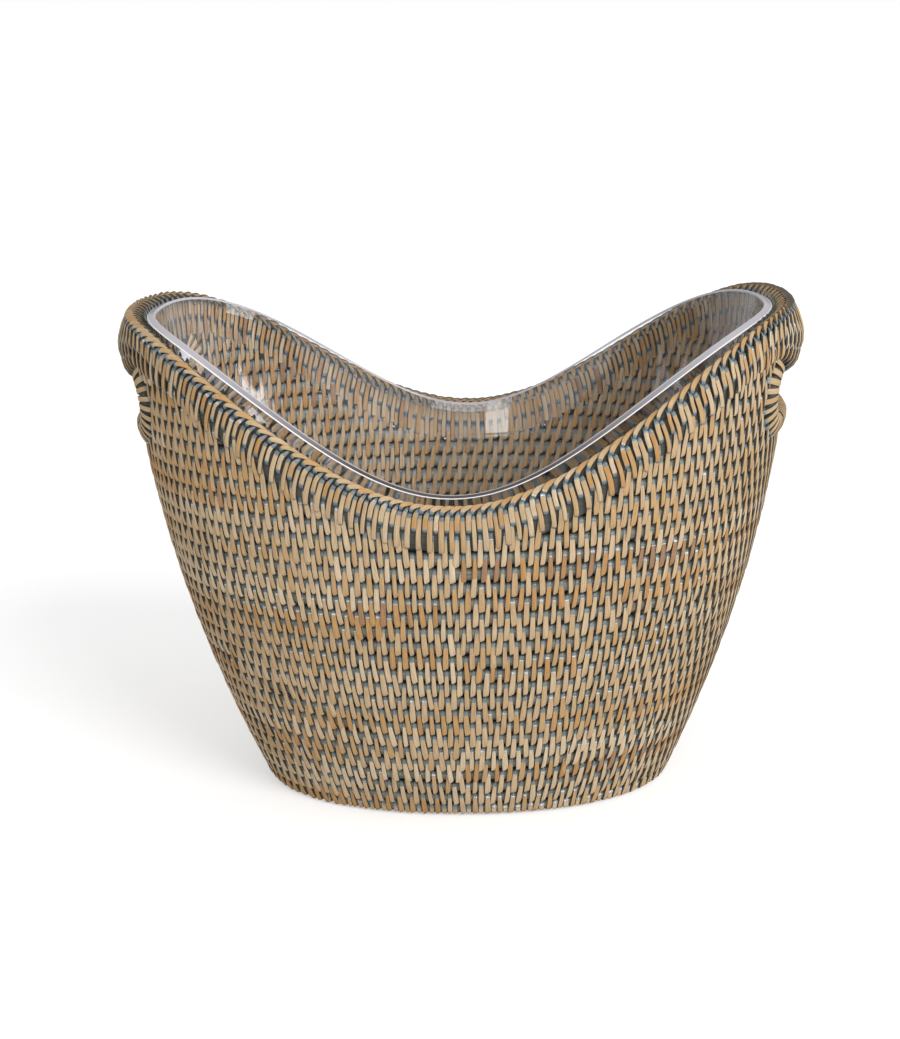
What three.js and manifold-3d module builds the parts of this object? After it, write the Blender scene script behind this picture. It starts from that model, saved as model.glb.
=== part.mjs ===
// Oval champagne bucket of coiled rattan: saddle rim, a hand hole under a padded grip in each end,
// and a clear liner that lifts out. Millimetres, +Z up, +X along the length, -Y the front,
// origin on the floor at the middle of the base.
import * as THREE from 'three';
import { mergeVertices } from 'three/addons/utils/BufferGeometryUtils.js';
import Module from 'manifold-3d';

const wasm = await Module();
wasm.setup();

// Overall shape of the outside of the wall
const baseLength = 241;
const baseWidth = 172;
const topLength = 380;
const topWidth = 276;
const rimEndHeight = 285;
const rimMiddleHeight = 197;

// Curves: 2 is an ellipse in plan, and a higher flare turns the wall upright sooner
const outlineExponent = 2.19;
const endFlare = 1.85;
const sideFlare = 2.55;
const rimClimb = 1.8;

// Wall of cane courses
const fullCourses = 20;
const endCourses = 5;
const wallThickness = 9;
const courseBelly = 1.6;
const baseThickness = 8.5;

// Rim
const braidWidth = 7;
const braidBulge = 2.4;
const bandWidth = 25.5;
const bandProud = 1.2;

// Profiles: share of the height, then share of the swell
const borderProfile = [[0.12, 0.5], [0.45, 1], [0.8, 0.6]];
const borderInnerFoot = 0.12;
const braidShoulder = 0.7;
const braidBelly = 0.35;

// Hand holes and grips
const gripLength = 124;
const gripHeight = 42;
const gripBulge = 8;
const fingerGap = 19;
const holeLength = 104;
const holeArch = 9;
const bindingWidth = 8;
const bindingProud = 1.5;

// Liner
const linerWall = 5;
const linerGap = 1.2;
const linerMiddleRise = 1;
const linerEndDrop = 3.5;
const linerEndFlare = 1.25;
const linerSideFlare = 1.5;
const linerLevels = [0, 0.3, 0.65, 1];

// Gap between pieces that touch, and reach of a cut past the wall's two faces
const clearance = 0.3;
const cutReach = 15;
const hairWidth = 0.02;

// Facets
const gripSteps = 3;
const sideSteps = 6;
const arcSteps = 6;
const smallTurn = 0.01;
const slopeSteps = 200;

const mix = (from, to, share) => from + (to - from) * share;
const flareShare = (height, flare) => 1 - Math.max(0, 1 - height / rimEndHeight) ** flare;
const wallHalfLength = (height) => mix(baseLength / 2, topLength / 2, flareShare(height, endFlare));
const wallHalfWidth = (height) => mix(baseWidth / 2, topWidth / 2, flareShare(height, sideFlare));
const squared = (component) => Math.sign(component) * Math.abs(component) ** (2 / outlineExponent);

function ovalPoint(halfLength, halfWidth, angle, height) {
  return new THREE.Vector3(
    halfLength * squared(Math.cos(angle)),
    halfWidth * squared(Math.sin(angle)),
    height,
  );
}

// A place in the wall: angle round from the right-hand end, height, and depth in from the outer face
function wallPoint(angle, height, depth) {
  return ovalPoint(wallHalfLength(height) - depth, wallHalfWidth(height) - depth, angle, height);
}

// The saddle: low in the middle of the long sides, level across the ends
function saddleHeight(angle, middle, end) {
  const along = Math.abs(squared(Math.cos(angle)));
  return mix(middle, end, 1 - Math.max(0, 1 - along ** 2) ** rimClimb);
}
const rimHeight = (angle) => saddleHeight(angle, rimMiddleHeight, rimEndHeight);

// Height of the line that lies the given width below the rim, measured square to the rim
function belowRim(angle, width) {
  const before = wallPoint(angle - smallTurn, rimHeight(angle - smallTurn), 0);
  const after = wallPoint(angle + smallTurn, rimHeight(angle + smallTurn), 0);
  const slope = (after.z - before.z) / Math.hypot(after.x - before.x, after.y - before.y);
  return rimHeight(angle) - width * Math.hypot(1, slope);
}

// Cuts the slope of the long side between two heights into equal courses, and gives the top of each
function equalCourses(low, high, count) {
  const lengths = [0];
  for (let i = 0; i < slopeSteps; i += 1) {
    const from = mix(low, high, i / slopeSteps);
    const to = mix(low, high, (i + 1) / slopeSteps);
    lengths.push(lengths[i] + Math.hypot(to - from, wallHalfWidth(to) - wallHalfWidth(from)));
  }
  const tops = [];
  for (let course = 1; course <= count; course += 1) {
    const wanted = lengths[slopeSteps] * course / count;
    const step = Math.max(1, lengths.findIndex((length) => length >= wanted - hairWidth));
    const part = (wanted - lengths[step - 1]) / (lengths[step] - lengths[step - 1]);
    tops.push(mix(low, high, (step - 1 + part) / slopeSteps));
  }
  return tops;
}

// Heights of the border's lower edge at the middle of a side, and of the hand hole at the ends
const bandBottom = rimMiddleHeight - bandWidth;
const gripBottom = rimEndHeight - gripHeight;
const holeSill = gripBottom - fingerGap;
const holeTop = gripBottom + holeArch;
const bindingFoot = holeSill - bindingWidth;

// Seams between courses: full ones up to the band, end ones up to the hole's binding,
// and short ones from there up to the rim
const coursesUnderHole = fullCourses + endCourses;
const endPitch = (bindingFoot - bandBottom) / endCourses;
const shortCourses = Math.ceil((rimEndHeight - bindingFoot) / endPitch);
const seams = [
  0,
  ...equalCourses(0, bandBottom, fullCourses),
  ...equalCourses(bandBottom, bindingFoot, endCourses),
  ...equalCourses(bindingFoot, rimEndHeight, shortCourses),
];

// Angles of the facets round the wall, the same for every course; the grips end on one of them
const gripAngle = Math.asin((gripLength / topWidth) ** (outlineExponent / 2));
const quarter = [];
for (let i = 0; i < gripSteps; i += 1) {
  quarter.push(gripAngle * i / gripSteps);
}
for (let i = 0; i < sideSteps; i += 1) {
  quarter.push(mix(gripAngle, Math.PI / 2, i / sideSteps));
}
const mirrored = quarter.slice(1).reverse().map((angle) => Math.PI - angle);
const half = [...quarter, Math.PI / 2, ...mirrored];
const ring = [...half, ...half.map((angle) => angle + Math.PI)];

// The rim and the liner have two facets for each one of a course
const fineRing = ring.flatMap((angle, i) => {
  const next = i + 1 < ring.length ? ring[i + 1] : 2 * Math.PI;
  return [angle, mix(angle, next, 0.5)];
});
const between = (low, high) => fineRing.filter((angle) => angle > low && angle < high);

// A closed body from rings of points; the last ring joins the first, or both ends are capped
function bodyFromRings(rings, closed) {
  const count = rings[0].length;
  const positions = rings.flat().flatMap((point) => point.toArray());
  const index = [];
  const joins = closed ? rings.length : rings.length - 1;
  for (let i = 0; i < joins; i += 1) {
    const here = i * count;
    const there = ((i + 1) % rings.length) * count;
    for (let j = 0; j < count; j += 1) {
      const next = (j + 1) % count;
      index.push(here + j, there + j, there + next);
      index.push(here + j, there + next, here + next);
    }
  }
  if (!closed) {
    const last = (rings.length - 1) * count;
    for (let j = 1; j < count - 1; j += 1) {
      index.push(0, j, j + 1);
      index.push(last, last + j + 1, last + j);
    }
  }
  const geometry = new THREE.BufferGeometry();
  geometry.setAttribute('position', new THREE.Float32BufferAttribute(positions, 3));
  geometry.setIndex(index);
  return geometry;
}

// A body swept along the wall: section gives its corners at an angle as [height, depth],
// starting with the outer face and going up it
function sweepWall(angles, section, closed) {
  const rings = angles.map((angle) => {
    const corners = section(angle);
    return corners.map(([height, depth]) => wallPoint(angle, height, depth));
  });
  return bodyFromRings(rings, closed);
}

function toManifold(geometry) {
  const mesh = new wasm.Mesh({
    numProp: 3,
    vertProperties: new Float32Array(geometry.attributes.position.array),
    triVerts: new Uint32Array(geometry.index.array),
  });
  return new wasm.Manifold(mesh);
}

function toGeometry(solid) {
  const mesh = solid.getMesh();
  const geometry = new THREE.BufferGeometry();
  geometry.setAttribute('position', new THREE.Float32BufferAttribute(mesh.vertProperties, 3));
  geometry.setIndex([...mesh.triVerts]);
  return withoutSlivers(geometry);
}

// Joins corners that a cut left closer than a hair, and drops the triangles that closes up
function withoutSlivers(geometry) {
  const merged = mergeVertices(geometry, hairWidth);
  const kept = [];
  const { array } = merged.index;
  for (let i = 0; i < array.length; i += 3) {
    const [a, b, c] = array.slice(i, i + 3);
    if (a !== b && b !== c && c !== a) {
      kept.push(a, b, c);
    }
  }
  merged.setIndex(kept);
  return merged;
}

const bucket = new THREE.Group();
const materials = {
  cane: new THREE.MeshStandardMaterial({ color: 0x8d7a5c, roughness: 0.8, metalness: 0 }),
  peel: new THREE.MeshStandardMaterial({ color: 0xc79d66, roughness: 0.6, metalness: 0 }),
  acrylic: new THREE.MeshStandardMaterial({
    color: 0xe8ecee, roughness: 0.05, metalness: 0, transparent: true, opacity: 0.3,
  }),
};

function addPiece(name, geometry, material) {
  geometry.computeVertexNormals();
  const mesh = new THREE.Mesh(geometry, material);
  mesh.name = name;
  bucket.add(mesh);
}

const twoDigits = (number) => String(number).padStart(2, '0');

// Section of one or more courses lying on each other, each with a rounded belly on its outer face
function courseSection(first, last) {
  const low = seams[first] + (first > 0 ? clearance / 2 : 0);
  const high = seams[last] - clearance / 2;
  const corners = [[low, courseBelly]];
  for (let course = first; course < last; course += 1) {
    corners.push([(seams[course] + seams[course + 1]) / 2, 0]);
    corners.push([course + 1 < last ? seams[course + 1] : high, courseBelly]);
  }
  corners.push([high, wallThickness], [low, wallThickness]);
  return corners;
}

const courseBody = (first, last) => sweepWall(ring, () => courseSection(first, last), true);

// How far an angle is from the nearer end, and how much the grip swells there: 1 at the end, 0 at its stop
const fromEnd = (angle) => Math.acos(Math.min(1, Math.abs(Math.cos(angle))));
function gripSwell(angle) {
  return (1 + Math.cos(Math.PI * Math.min(1, fromEnd(angle) / gripAngle))) / 2;
}

// Lower edge of the border: the band along the sides, the grip at the ends
function borderBottom(angle) {
  return mix(belowRim(angle, bandWidth), gripBottom, gripSwell(angle));
}

// Everything from the border upwards, which is cut away from the courses
const borderCut = toManifold(sweepWall(fineRing, (angle) => {
  const low = borderBottom(angle) - clearance;
  const high = rimEndHeight + cutReach;
  const underside = [1, 2 / 3, 1 / 3, 0].map((share) => [low, wallThickness * share]);
  return [
    [low, -cutReach],
    [high, -cutReach],
    [high, wallThickness + cutReach],
    [low, wallThickness + cutReach],
    ...underside,
  ];
}, true));

// A bar along X with straight long sides and round ends, through one end wall at the height of the hole
function slotBar(side, halfLength, low, high) {
  const radius = (high - low) / 2;
  const middle = (high + low) / 2;
  const outline = [];
  for (let i = 0; i <= arcSteps * 2; i += 1) {
    const turn = -Math.PI / 2 + Math.PI * i / (arcSteps * 2);
    outline.push([halfLength - radius + radius * Math.cos(turn), middle + radius * Math.sin(turn)]);
  }
  for (let i = 0; i <= arcSteps * 2; i += 1) {
    const turn = Math.PI / 2 + Math.PI * i / (arcSteps * 2);
    outline.push([radius - halfLength + radius * Math.cos(turn), middle + radius * Math.sin(turn)]);
  }
  const near = side * wallPoint(gripAngle, holeSill, wallThickness + cutReach).x;
  const far = side * (topLength / 2 + cutReach);
  const ends = [Math.min(near, far), Math.max(near, far)];
  const rings = ends.map((x) => outline.map(([y, z]) => new THREE.Vector3(x, y, z)));
  return toManifold(bodyFromRings(rings.reverse(), false));
}

// Base coil, inside the lowest course
const baseRing = (height) => ring.map((angle) => wallPoint(angle, height, wallThickness + clearance));
addPiece('base_coil', bodyFromRings([baseRing(baseThickness), baseRing(0)], false), materials.cane);

// Full courses
for (let course = 0; course < fullCourses; course += 1) {
  addPiece(`wall_course_${twoDigits(course + 1)}`, courseBody(course, course + 1), materials.cane);
}

// End courses: what the border leaves of a course above its lowest point, one piece at each end
for (let course = fullCourses; course < coursesUnderHole; course += 1) {
  const pieces = toManifold(courseBody(course, course + 1)).subtract(borderCut).decompose();
  for (const piece of pieces) {
    const { min, max } = piece.boundingBox();
    const end = min[0] + max[0] < 0 ? 'left' : 'right';
    addPiece(`end_course_${end}_${twoDigits(course + 1)}`, toGeometry(piece), materials.cane);
  }
}

// Hand holes: binding round the sill and ends of each, and the stack of short canes left on either side
const bindingBottom = bindingFoot + clearance / 2;
const shell = toManifold(sweepWall(fineRing, () => [
  [bindingFoot - cutReach, -bindingProud],
  [rimEndHeight, -bindingProud],
  [rimEndHeight, wallThickness],
  [bindingFoot - cutReach, wallThickness],
], true));
let corners = toManifold(courseBody(coursesUnderHole, seams.length - 1)).subtract(borderCut);
for (const side of [-1, 1]) {
  const collar = slotBar(side, holeLength / 2 + bindingWidth, bindingBottom, holeTop + bindingWidth);
  const opening = slotBar(side, holeLength / 2, holeSill, holeTop);
  const cut = slotBar(
    side,
    holeLength / 2 + bindingWidth + clearance,
    bindingBottom - clearance,
    holeTop + bindingWidth + clearance,
  );
  const binding = shell.intersect(collar).subtract(opening).subtract(borderCut);
  addPiece(`handle_binding_${side < 0 ? 'left' : 'right'}`, toGeometry(binding), materials.peel);
  corners = corners.subtract(cut);
}
for (const piece of corners.decompose()) {
  const { min, max } = piece.boundingBox();
  const end = min[0] + max[0] < 0 ? 'left' : 'right';
  const face = min[1] + max[1] < 0 ? 'front' : 'back';
  addPiece(`corner_panel_${face}_${end}`, toGeometry(piece), materials.cane);
}

// Section of the border between its lower edge and the braid, swelling outwards by the given amount
function borderSection(angle, swell) {
  const low = borderBottom(angle);
  const high = belowRim(angle, braidWidth) - clearance;
  return [
    [low, wallThickness / 3],
    ...borderProfile.map(([up, out]) => [mix(low, high, up), -swell * out]),
    [high, bandProud],
    [high, wallThickness / 2],
    [high, wallThickness],
    [mix(low, high, borderInnerFoot), wallThickness],
    [low, wallThickness * 2 / 3],
  ];
}

// Rim bands along the front and the back, stopping short of the grips by the clearance
const gripEnd = wallPoint(gripAngle, rimEndHeight, 0);
const justPast = wallPoint(gripAngle + smallTurn, rimEndHeight, 0);
const bandStart = gripAngle + smallTurn * clearance / gripEnd.distanceTo(justPast);
const bandAngles = [bandStart, ...between(bandStart, Math.PI - bandStart), Math.PI - bandStart];
const bandSection = (angle) => borderSection(angle, bandProud);
const frontAngles = bandAngles.map((angle) => angle + Math.PI);
addPiece('rim_band_back', sweepWall(bandAngles, bandSection, false), materials.peel);
addPiece('rim_band_front', sweepWall(frontAngles, bandSection, false), materials.peel);

// Grips, swelling out in the middle and meeting the bands at their ends
const gripStart = Math.PI - gripAngle;
const gripStop = Math.PI + gripAngle;
const leftAngles = [gripStart, ...between(gripStart, gripStop), gripStop];
const rightAngles = leftAngles.map((angle) => angle + Math.PI);
const gripSection = (angle) => borderSection(angle, mix(bandProud, gripBulge, gripSwell(angle)));
addPiece('grip_left', sweepWall(leftAngles, gripSection, false), materials.peel);
addPiece('grip_right', sweepWall(rightAngles, gripSection, false), materials.peel);

// Braid along the crest
addPiece('rim_braid', sweepWall(fineRing, (angle) => {
  const low = belowRim(angle, braidWidth);
  const crest = rimHeight(angle);
  const shoulder = mix(low, crest, braidShoulder);
  const swell = mix(bandProud, braidBulge, gripSwell(angle));
  return [
    [low, wallThickness / 2],
    [low, bandProud],
    [mix(low, crest, braidBelly), -swell],
    [shoulder, -swell / 2],
    [crest, wallThickness / 3],
    [crest, wallThickness * 2 / 3],
    [shoulder, wallThickness],
    [low, wallThickness],
  ];
}, true), materials.peel);

// Liner: a tub with straighter walls than the basket's, so that fingers find room behind the hand holes
const linerFloor = baseThickness + clearance;
const linerInset = wallThickness + linerGap;
function linerShare(height, flare) {
  const foot = flareShare(linerFloor, flare);
  return (flareShare(height, flare) - foot) / (1 - foot);
}
function linerPoint(angle, height, depth) {
  const halfLength = mix(wallHalfLength(linerFloor), topLength / 2, linerShare(height, linerEndFlare));
  const halfWidth = mix(wallHalfWidth(linerFloor), topWidth / 2, linerShare(height, linerSideFlare));
  const inset = linerInset + depth;
  return ovalPoint(halfLength - inset, halfWidth - inset, angle, height);
}
function linerSkin(depth, floor) {
  return linerLevels.map((share) => fineRing.map((angle) => {
    const rim = saddleHeight(angle, rimMiddleHeight + linerMiddleRise, rimEndHeight - linerEndDrop);
    return linerPoint(angle, mix(floor, rim, share), depth);
  }));
}
const linerRings = [...linerSkin(linerWall, linerFloor + linerWall), ...linerSkin(0, linerFloor).reverse()];
addPiece('clear_liner', bodyFromRings(linerRings, false), materials.acrylic);

export default bucket;
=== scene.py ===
import math

import bpy
import numpy as np
from mathutils import Matrix, Vector


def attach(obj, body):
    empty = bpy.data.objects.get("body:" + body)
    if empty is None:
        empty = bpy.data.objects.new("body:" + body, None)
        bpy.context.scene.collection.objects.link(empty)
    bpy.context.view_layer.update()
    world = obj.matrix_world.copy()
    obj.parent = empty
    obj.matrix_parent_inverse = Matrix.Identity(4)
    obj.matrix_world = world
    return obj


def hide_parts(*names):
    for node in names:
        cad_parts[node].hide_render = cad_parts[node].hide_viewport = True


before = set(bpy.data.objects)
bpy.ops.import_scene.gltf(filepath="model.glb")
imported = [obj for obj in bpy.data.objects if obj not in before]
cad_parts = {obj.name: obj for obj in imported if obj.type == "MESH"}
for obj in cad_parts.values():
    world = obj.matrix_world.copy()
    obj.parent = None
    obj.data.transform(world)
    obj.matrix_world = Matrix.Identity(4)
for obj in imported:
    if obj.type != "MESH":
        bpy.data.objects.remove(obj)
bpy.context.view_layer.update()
print("frame loaded:", len(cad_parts), "nodes")

# Shape of the wall, as the solids have it, in metres
wall = {
    "baseLength": 0.241,
    "baseWidth": 0.172,
    "topLength": 0.380,
    "topWidth": 0.276,
    "endHeight": 0.285,
    "middleHeight": 0.197,
    "outlineExponent": 2.19,
    "endFlare": 1.85,
    "sideFlare": 2.55,
    "rimClimb": 1.8,
    "thickness": 0.009,
    "fullCourses": 20,
    "endCourses": 5,
}
rim = {
    "braidWidth": 0.007,
    "bandWidth": 0.0255,
    "gripLength": 0.124,
    "gripHeight": 0.042,
    # distance out from the wall's face in millimetres, for each share of the border's height:
    # 0 at the border's foot, 1 at the foot of the braid, 2 at the crest
    "faceShares": [-0.05, 0, 0.06, 0.12, 0.30, 0.45, 0.62, 0.80, 1.0, 1.35, 1.7, 1.9, 2.0],
    "bandFace": [-1.4, -1.1, -0.6, -0.2, 0.3, 0.4, 0.3, 0.0, -0.2, 0.1, -0.4, -2.0, -3.8],
    "gripFace": [0.0, 0.8, 2.9, 4.4, 5.9, 6.8, 6.8, 5.3, 2.4, 1.1, 0.2, -1.2, -3.0],
}
hole = {
    "fingerGap": 0.019,
    "length": 0.104,
    "arch": 0.009,
    "bindingWidth": 0.008,
}
millimetre = 0.001
front = -math.pi / 2  # angle of the middle of the front
denseAngles = np.linspace(front, front + 2 * math.pi, 2881)


def mix(low, high, share):
    return low + (high - low) * share


def unit(vectors):
    return vectors / np.linalg.norm(vectors, axis=-1, keepdims=True)


def fullTurn(count):
    return np.linspace(0, 2 * math.pi, count, endpoint=False)


def flareShare(height, flare):
    return 1 - np.maximum(0, 1 - height / wall["endHeight"]) ** flare


def wallHalfLength(height):
    return mix(wall["baseLength"], wall["topLength"], flareShare(height, wall["endFlare"])) / 2


def wallHalfWidth(height):
    return mix(wall["baseWidth"], wall["topWidth"], flareShare(height, wall["sideFlare"])) / 2


def squared(part):
    return np.sign(part) * np.abs(part) ** (2 / wall["outlineExponent"])


def ovalPoint(halfLength, halfWidth, angle, height):
    x = halfLength * squared(np.cos(angle))
    y = halfWidth * squared(np.sin(angle))
    return np.stack(np.broadcast_arrays(x, y, height), -1)


def wallPoint(angle, height, depth):
    return ovalPoint(wallHalfLength(height) - depth, wallHalfWidth(height) - depth, angle, height)


def alongWall(angle, height):
    turn = 0.004
    return (wallPoint(angle + turn, height, 0) - wallPoint(angle - turn, height, 0)) / (2 * turn)


def wallNormal(angle, height):
    rise = 0.0005
    upward = wallPoint(angle, height + rise, 0) - wallPoint(angle, height - rise, 0)
    return unit(np.cross(alongWall(angle, height), upward))


def shifted(angle, height, distance):  # the angle that lies a distance further round the wall
    return angle + distance / np.linalg.norm(alongWall(angle, height), axis=-1)


def saddleHeight(angle, middle, end):
    along = np.abs(squared(np.cos(angle)))
    return mix(middle, end, 1 - np.maximum(0, 1 - along ** 2) ** wall["rimClimb"])


def rimHeight(angle):
    return saddleHeight(angle, wall["middleHeight"], wall["endHeight"])


def rimSlope(angle):
    turn = 0.01
    after = wallPoint(angle + turn, rimHeight(angle + turn), 0)
    before = wallPoint(angle - turn, rimHeight(angle - turn), 0)
    step = after - before
    return step[..., 2] / np.hypot(step[..., 0], step[..., 1])


def belowRim(angle, width):
    return rimHeight(angle) - width * np.hypot(1, rimSlope(angle))


def braidFoot(angle):
    return belowRim(angle, rim["braidWidth"])


gripAngle = math.asin((rim["gripLength"] / wall["topWidth"]) ** (wall["outlineExponent"] / 2))
gripBottom = wall["endHeight"] - rim["gripHeight"]
holeSill = gripBottom - hole["fingerGap"]
holeTop = gripBottom + hole["arch"]
bindingFoot = holeSill - hole["bindingWidth"]
bandBottom = wall["middleHeight"] - rim["bandWidth"]


def gripSwell(angle):
    fromEnd = np.arccos(np.minimum(1, np.abs(np.cos(angle))))
    return (1 + np.cos(math.pi * np.minimum(1, fromEnd / gripAngle))) / 2


def borderBottom(angle):
    return mix(belowRim(angle, rim["bandWidth"]), gripBottom, gripSwell(angle))


def borderFace(angle, share):
    band = np.interp(share, rim["faceShares"], rim["bandFace"])
    grip = np.interp(share, rim["faceShares"], rim["gripFace"])
    return mix(band, grip, gripSwell(angle)) * millimetre


def borderHeight(angle, share):
    onBand = mix(borderBottom(angle), braidFoot(angle), share)
    return np.where(share <= 1, onBand, belowRim(angle, rim["braidWidth"] * (2 - share)))


def equalCourses(low, high, count):
    heights = np.linspace(low, high, 400)
    lengths = np.append(0, np.cumsum(np.hypot(np.diff(heights), np.diff(wallHalfWidth(heights)))))
    return np.interp(lengths[-1] * np.arange(1, count + 1) / count, lengths, heights)


underHole = wall["fullCourses"] + wall["endCourses"]
shortCourses = math.ceil((wall["endHeight"] - bindingFoot) / (bindingFoot - bandBottom) * wall["endCourses"])
seams = np.concatenate([
    [0],
    equalCourses(0, bandBottom, wall["fullCourses"]),
    equalCourses(bandBottom, bindingFoot, wall["endCourses"]),
    equalCourses(bindingFoot, wall["endHeight"], shortCourses),
])


# Materials

def setInputs(tree, node, values):  # a value is a socket to link or a plain value
    for key, value in values.items():
        if isinstance(value, bpy.types.NodeSocket):
            tree.links.new(value, node.inputs[key])
        else:
            node.inputs[key].default_value = value


def addNode(tree, kind, inputs=None, **settings):
    node = tree.nodes.new(kind)
    for name, value in settings.items():
        setattr(node, name, value)
    setInputs(tree, node, inputs or {})
    return node


def newGroup(name, kind, inputs, outputs):
    group = bpy.data.node_groups.new(name, kind)
    for socketName, socketType, value in inputs:
        socket = group.interface.new_socket(socketName, in_out="INPUT", socket_type=socketType)
        if value is not None:
            socket.default_value = value
    for socketName, socketType in outputs:
        group.interface.new_socket(socketName, in_out="OUTPUT", socket_type=socketType)
    return group, group.nodes.new("NodeGroupInput"), group.nodes.new("NodeGroupOutput")


def maths(tree, operation, *values):
    return addNode(tree, "ShaderNodeMath", dict(enumerate(values)), operation=operation).outputs[0]


def remap(tree, value, low, high, newLow=0.0, newHigh=1.0):
    ends = {"Value": value, "From Min": low, "From Max": high, "To Min": newLow, "To Max": newHigh}
    return addNode(tree, "ShaderNodeMapRange", ends).outputs["Result"]


def noise(tree, place, scale, detail, others=None):
    sizes = {"Vector": place, "Scale": scale, "Detail": detail, **(others or {})}
    return addNode(tree, "ShaderNodeTexNoise", sizes).outputs["Fac"]


def stretched(tree, place, factors):
    return addNode(tree, "ShaderNodeVectorMath", {0: place, 1: factors}, operation="MULTIPLY").outputs[0]


def colourMix(tree, share, first, second):
    node = addNode(tree, "ShaderNodeMix", {0: share}, data_type="RGBA")
    for key, value in ((6, first), (7, second)):
        setInputs(tree, node, {key: value if isinstance(value, bpy.types.NodeSocket) else (*value, 1)})
    return node.outputs[2]


def bumped(tree, height, strength, distance):
    sizes = {"Height": height, "Strength": strength, "Distance": distance}
    return addNode(tree, "ShaderNodeBump", sizes).outputs["Normal"]


def attribute(tree, name):
    return addNode(tree, "ShaderNodeAttribute", attribute_name=name).outputs["Fac"]


def objectPlace(tree):
    return addNode(tree, "ShaderNodeTexCoord").outputs["Object"]


def scaled(colour, factor):
    return [part * factor for part in colour]


def newMaterial(name):
    material = bpy.data.materials.new(name)
    material.use_nodes = True
    tree = material.node_tree
    return material, tree, tree.nodes["Principled BSDF"]


grainLook = {
    "fibreDetail": 4.0,
    "fibreRoughness": 0.65,
    "speckScale": 2.3,
    "speckDetail": 2.0,
    "speckDistortion": 0.6,
    "speckFull": 0.86,
    "blotchScale": 0.9,
    "blotchDetail": 1.0,
}


def makeGrainGroup():
    look = grainLook
    group, given, result = newGroup(
        "fibreGrain",
        "ShaderNodeTree",
        [("Vector", "NodeSocketVector", None), ("Fibre scale", "NodeSocketFloat", 4.0),
         ("Speck amount", "NodeSocketFloat", 0.3)],
        [("Fibre", "NodeSocketFloat"), ("Speck", "NodeSocketFloat"), ("Blotch", "NodeSocketFloat")],
    )
    place, fibreScale, speckAmount = given.outputs[:3]
    twist = {"Distortion": look["speckDistortion"]}
    spots = noise(group, place, look["speckScale"], look["speckDetail"], twist)
    speckFrom = maths(group, "SUBTRACT", look["speckFull"], speckAmount)
    setInputs(group, result, {
        "Fibre": noise(group, place, fibreScale, look["fibreDetail"], {"Roughness": look["fibreRoughness"]}),
        "Speck": remap(group, spots, speckFrom, look["speckFull"]),
        "Blotch": noise(group, place, look["blotchScale"], look["blotchDetail"]),
    })
    return group


grainGroup = makeGrainGroup()


def grainOver(tree, place, fibreScale, speckAmount):
    given = {"Vector": place, "Fibre scale": fibreScale, "Speck amount": speckAmount}
    grain = addNode(tree, "ShaderNodeGroup", given, node_tree=grainGroup)
    return [grain.outputs[word] for word in ("Fibre", "Speck", "Blotch")]


peelLook = {
    "tones": [
        (0.00, (0.34, 0.190, 0.100)),
        (0.12, (0.48, 0.255, 0.092)),
        (0.26, (0.52, 0.305, 0.122)),
        (0.45, (0.52, 0.358, 0.195)),
        (0.70, (0.58, 0.425, 0.255)),
        (1.00, (0.66, 0.515, 0.345)),
    ],
    "brightFibres": (0.60, 1.16),
    "fibreRange": (0.3, 0.7),
    "fibreScale": 5.0,
    "grainSteps": (5.31, 3.77),  # how far the grain of one strip lies from the next one's
    "grainAcross": 1.1,
    "grainAlong": 0.9,
    "blotchTone": 0.25,
    "speck": (0.15, 0.070, 0.030),
    "speckAmount": 0.2,
    "speckShare": 0.8,
    "paint": (0.138, 0.162, 0.165),
    "paintShades": (0.6, 1.5),
    "paintRange": (0.36, 0.66),
    "paintWear": 0.7,
    "paintedEdge": (0.86, 0.97),
    "edgePaint": 0.5,
    # painted sheen: paint values over which the paint turns paler, and how much
    "paintSheenRange": (1.15, 0.6),
    "paintSheenAmount": 0.6,
    "blotchPale": 0.7,
    # painted glints: the pale colour painted on the bends, and where it lies
    "paintedGlint": (0.88, 0.90, 0.93),
    "glintFrom": (0.52, 0.62),
    "glintTo": (0.88, 0.76),
    "glintReach": 0.45,
    "glintFibre": 0.49,
    "glintPatch": (0.52, 0.60),
    "glintPatchScale": (12, 12, 70),
    # painted shade: the dark colour on the strips' flanks and where they go into the wall, and in the cane's
    # seams
    "paintedShade": (0.022, 0.024, 0.021),
    "sunkRange": (1.2, 1.9),
    "flankRange": (0.90, 0.99),
    "flankShade": 0.75,
    "roughness": (0.5, 0.8),
    "paintRoughness": 0.24,
    "specular": 0.35,
    "bump": 0.25,
    "bumpDepth": 0.0004,
}


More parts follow.
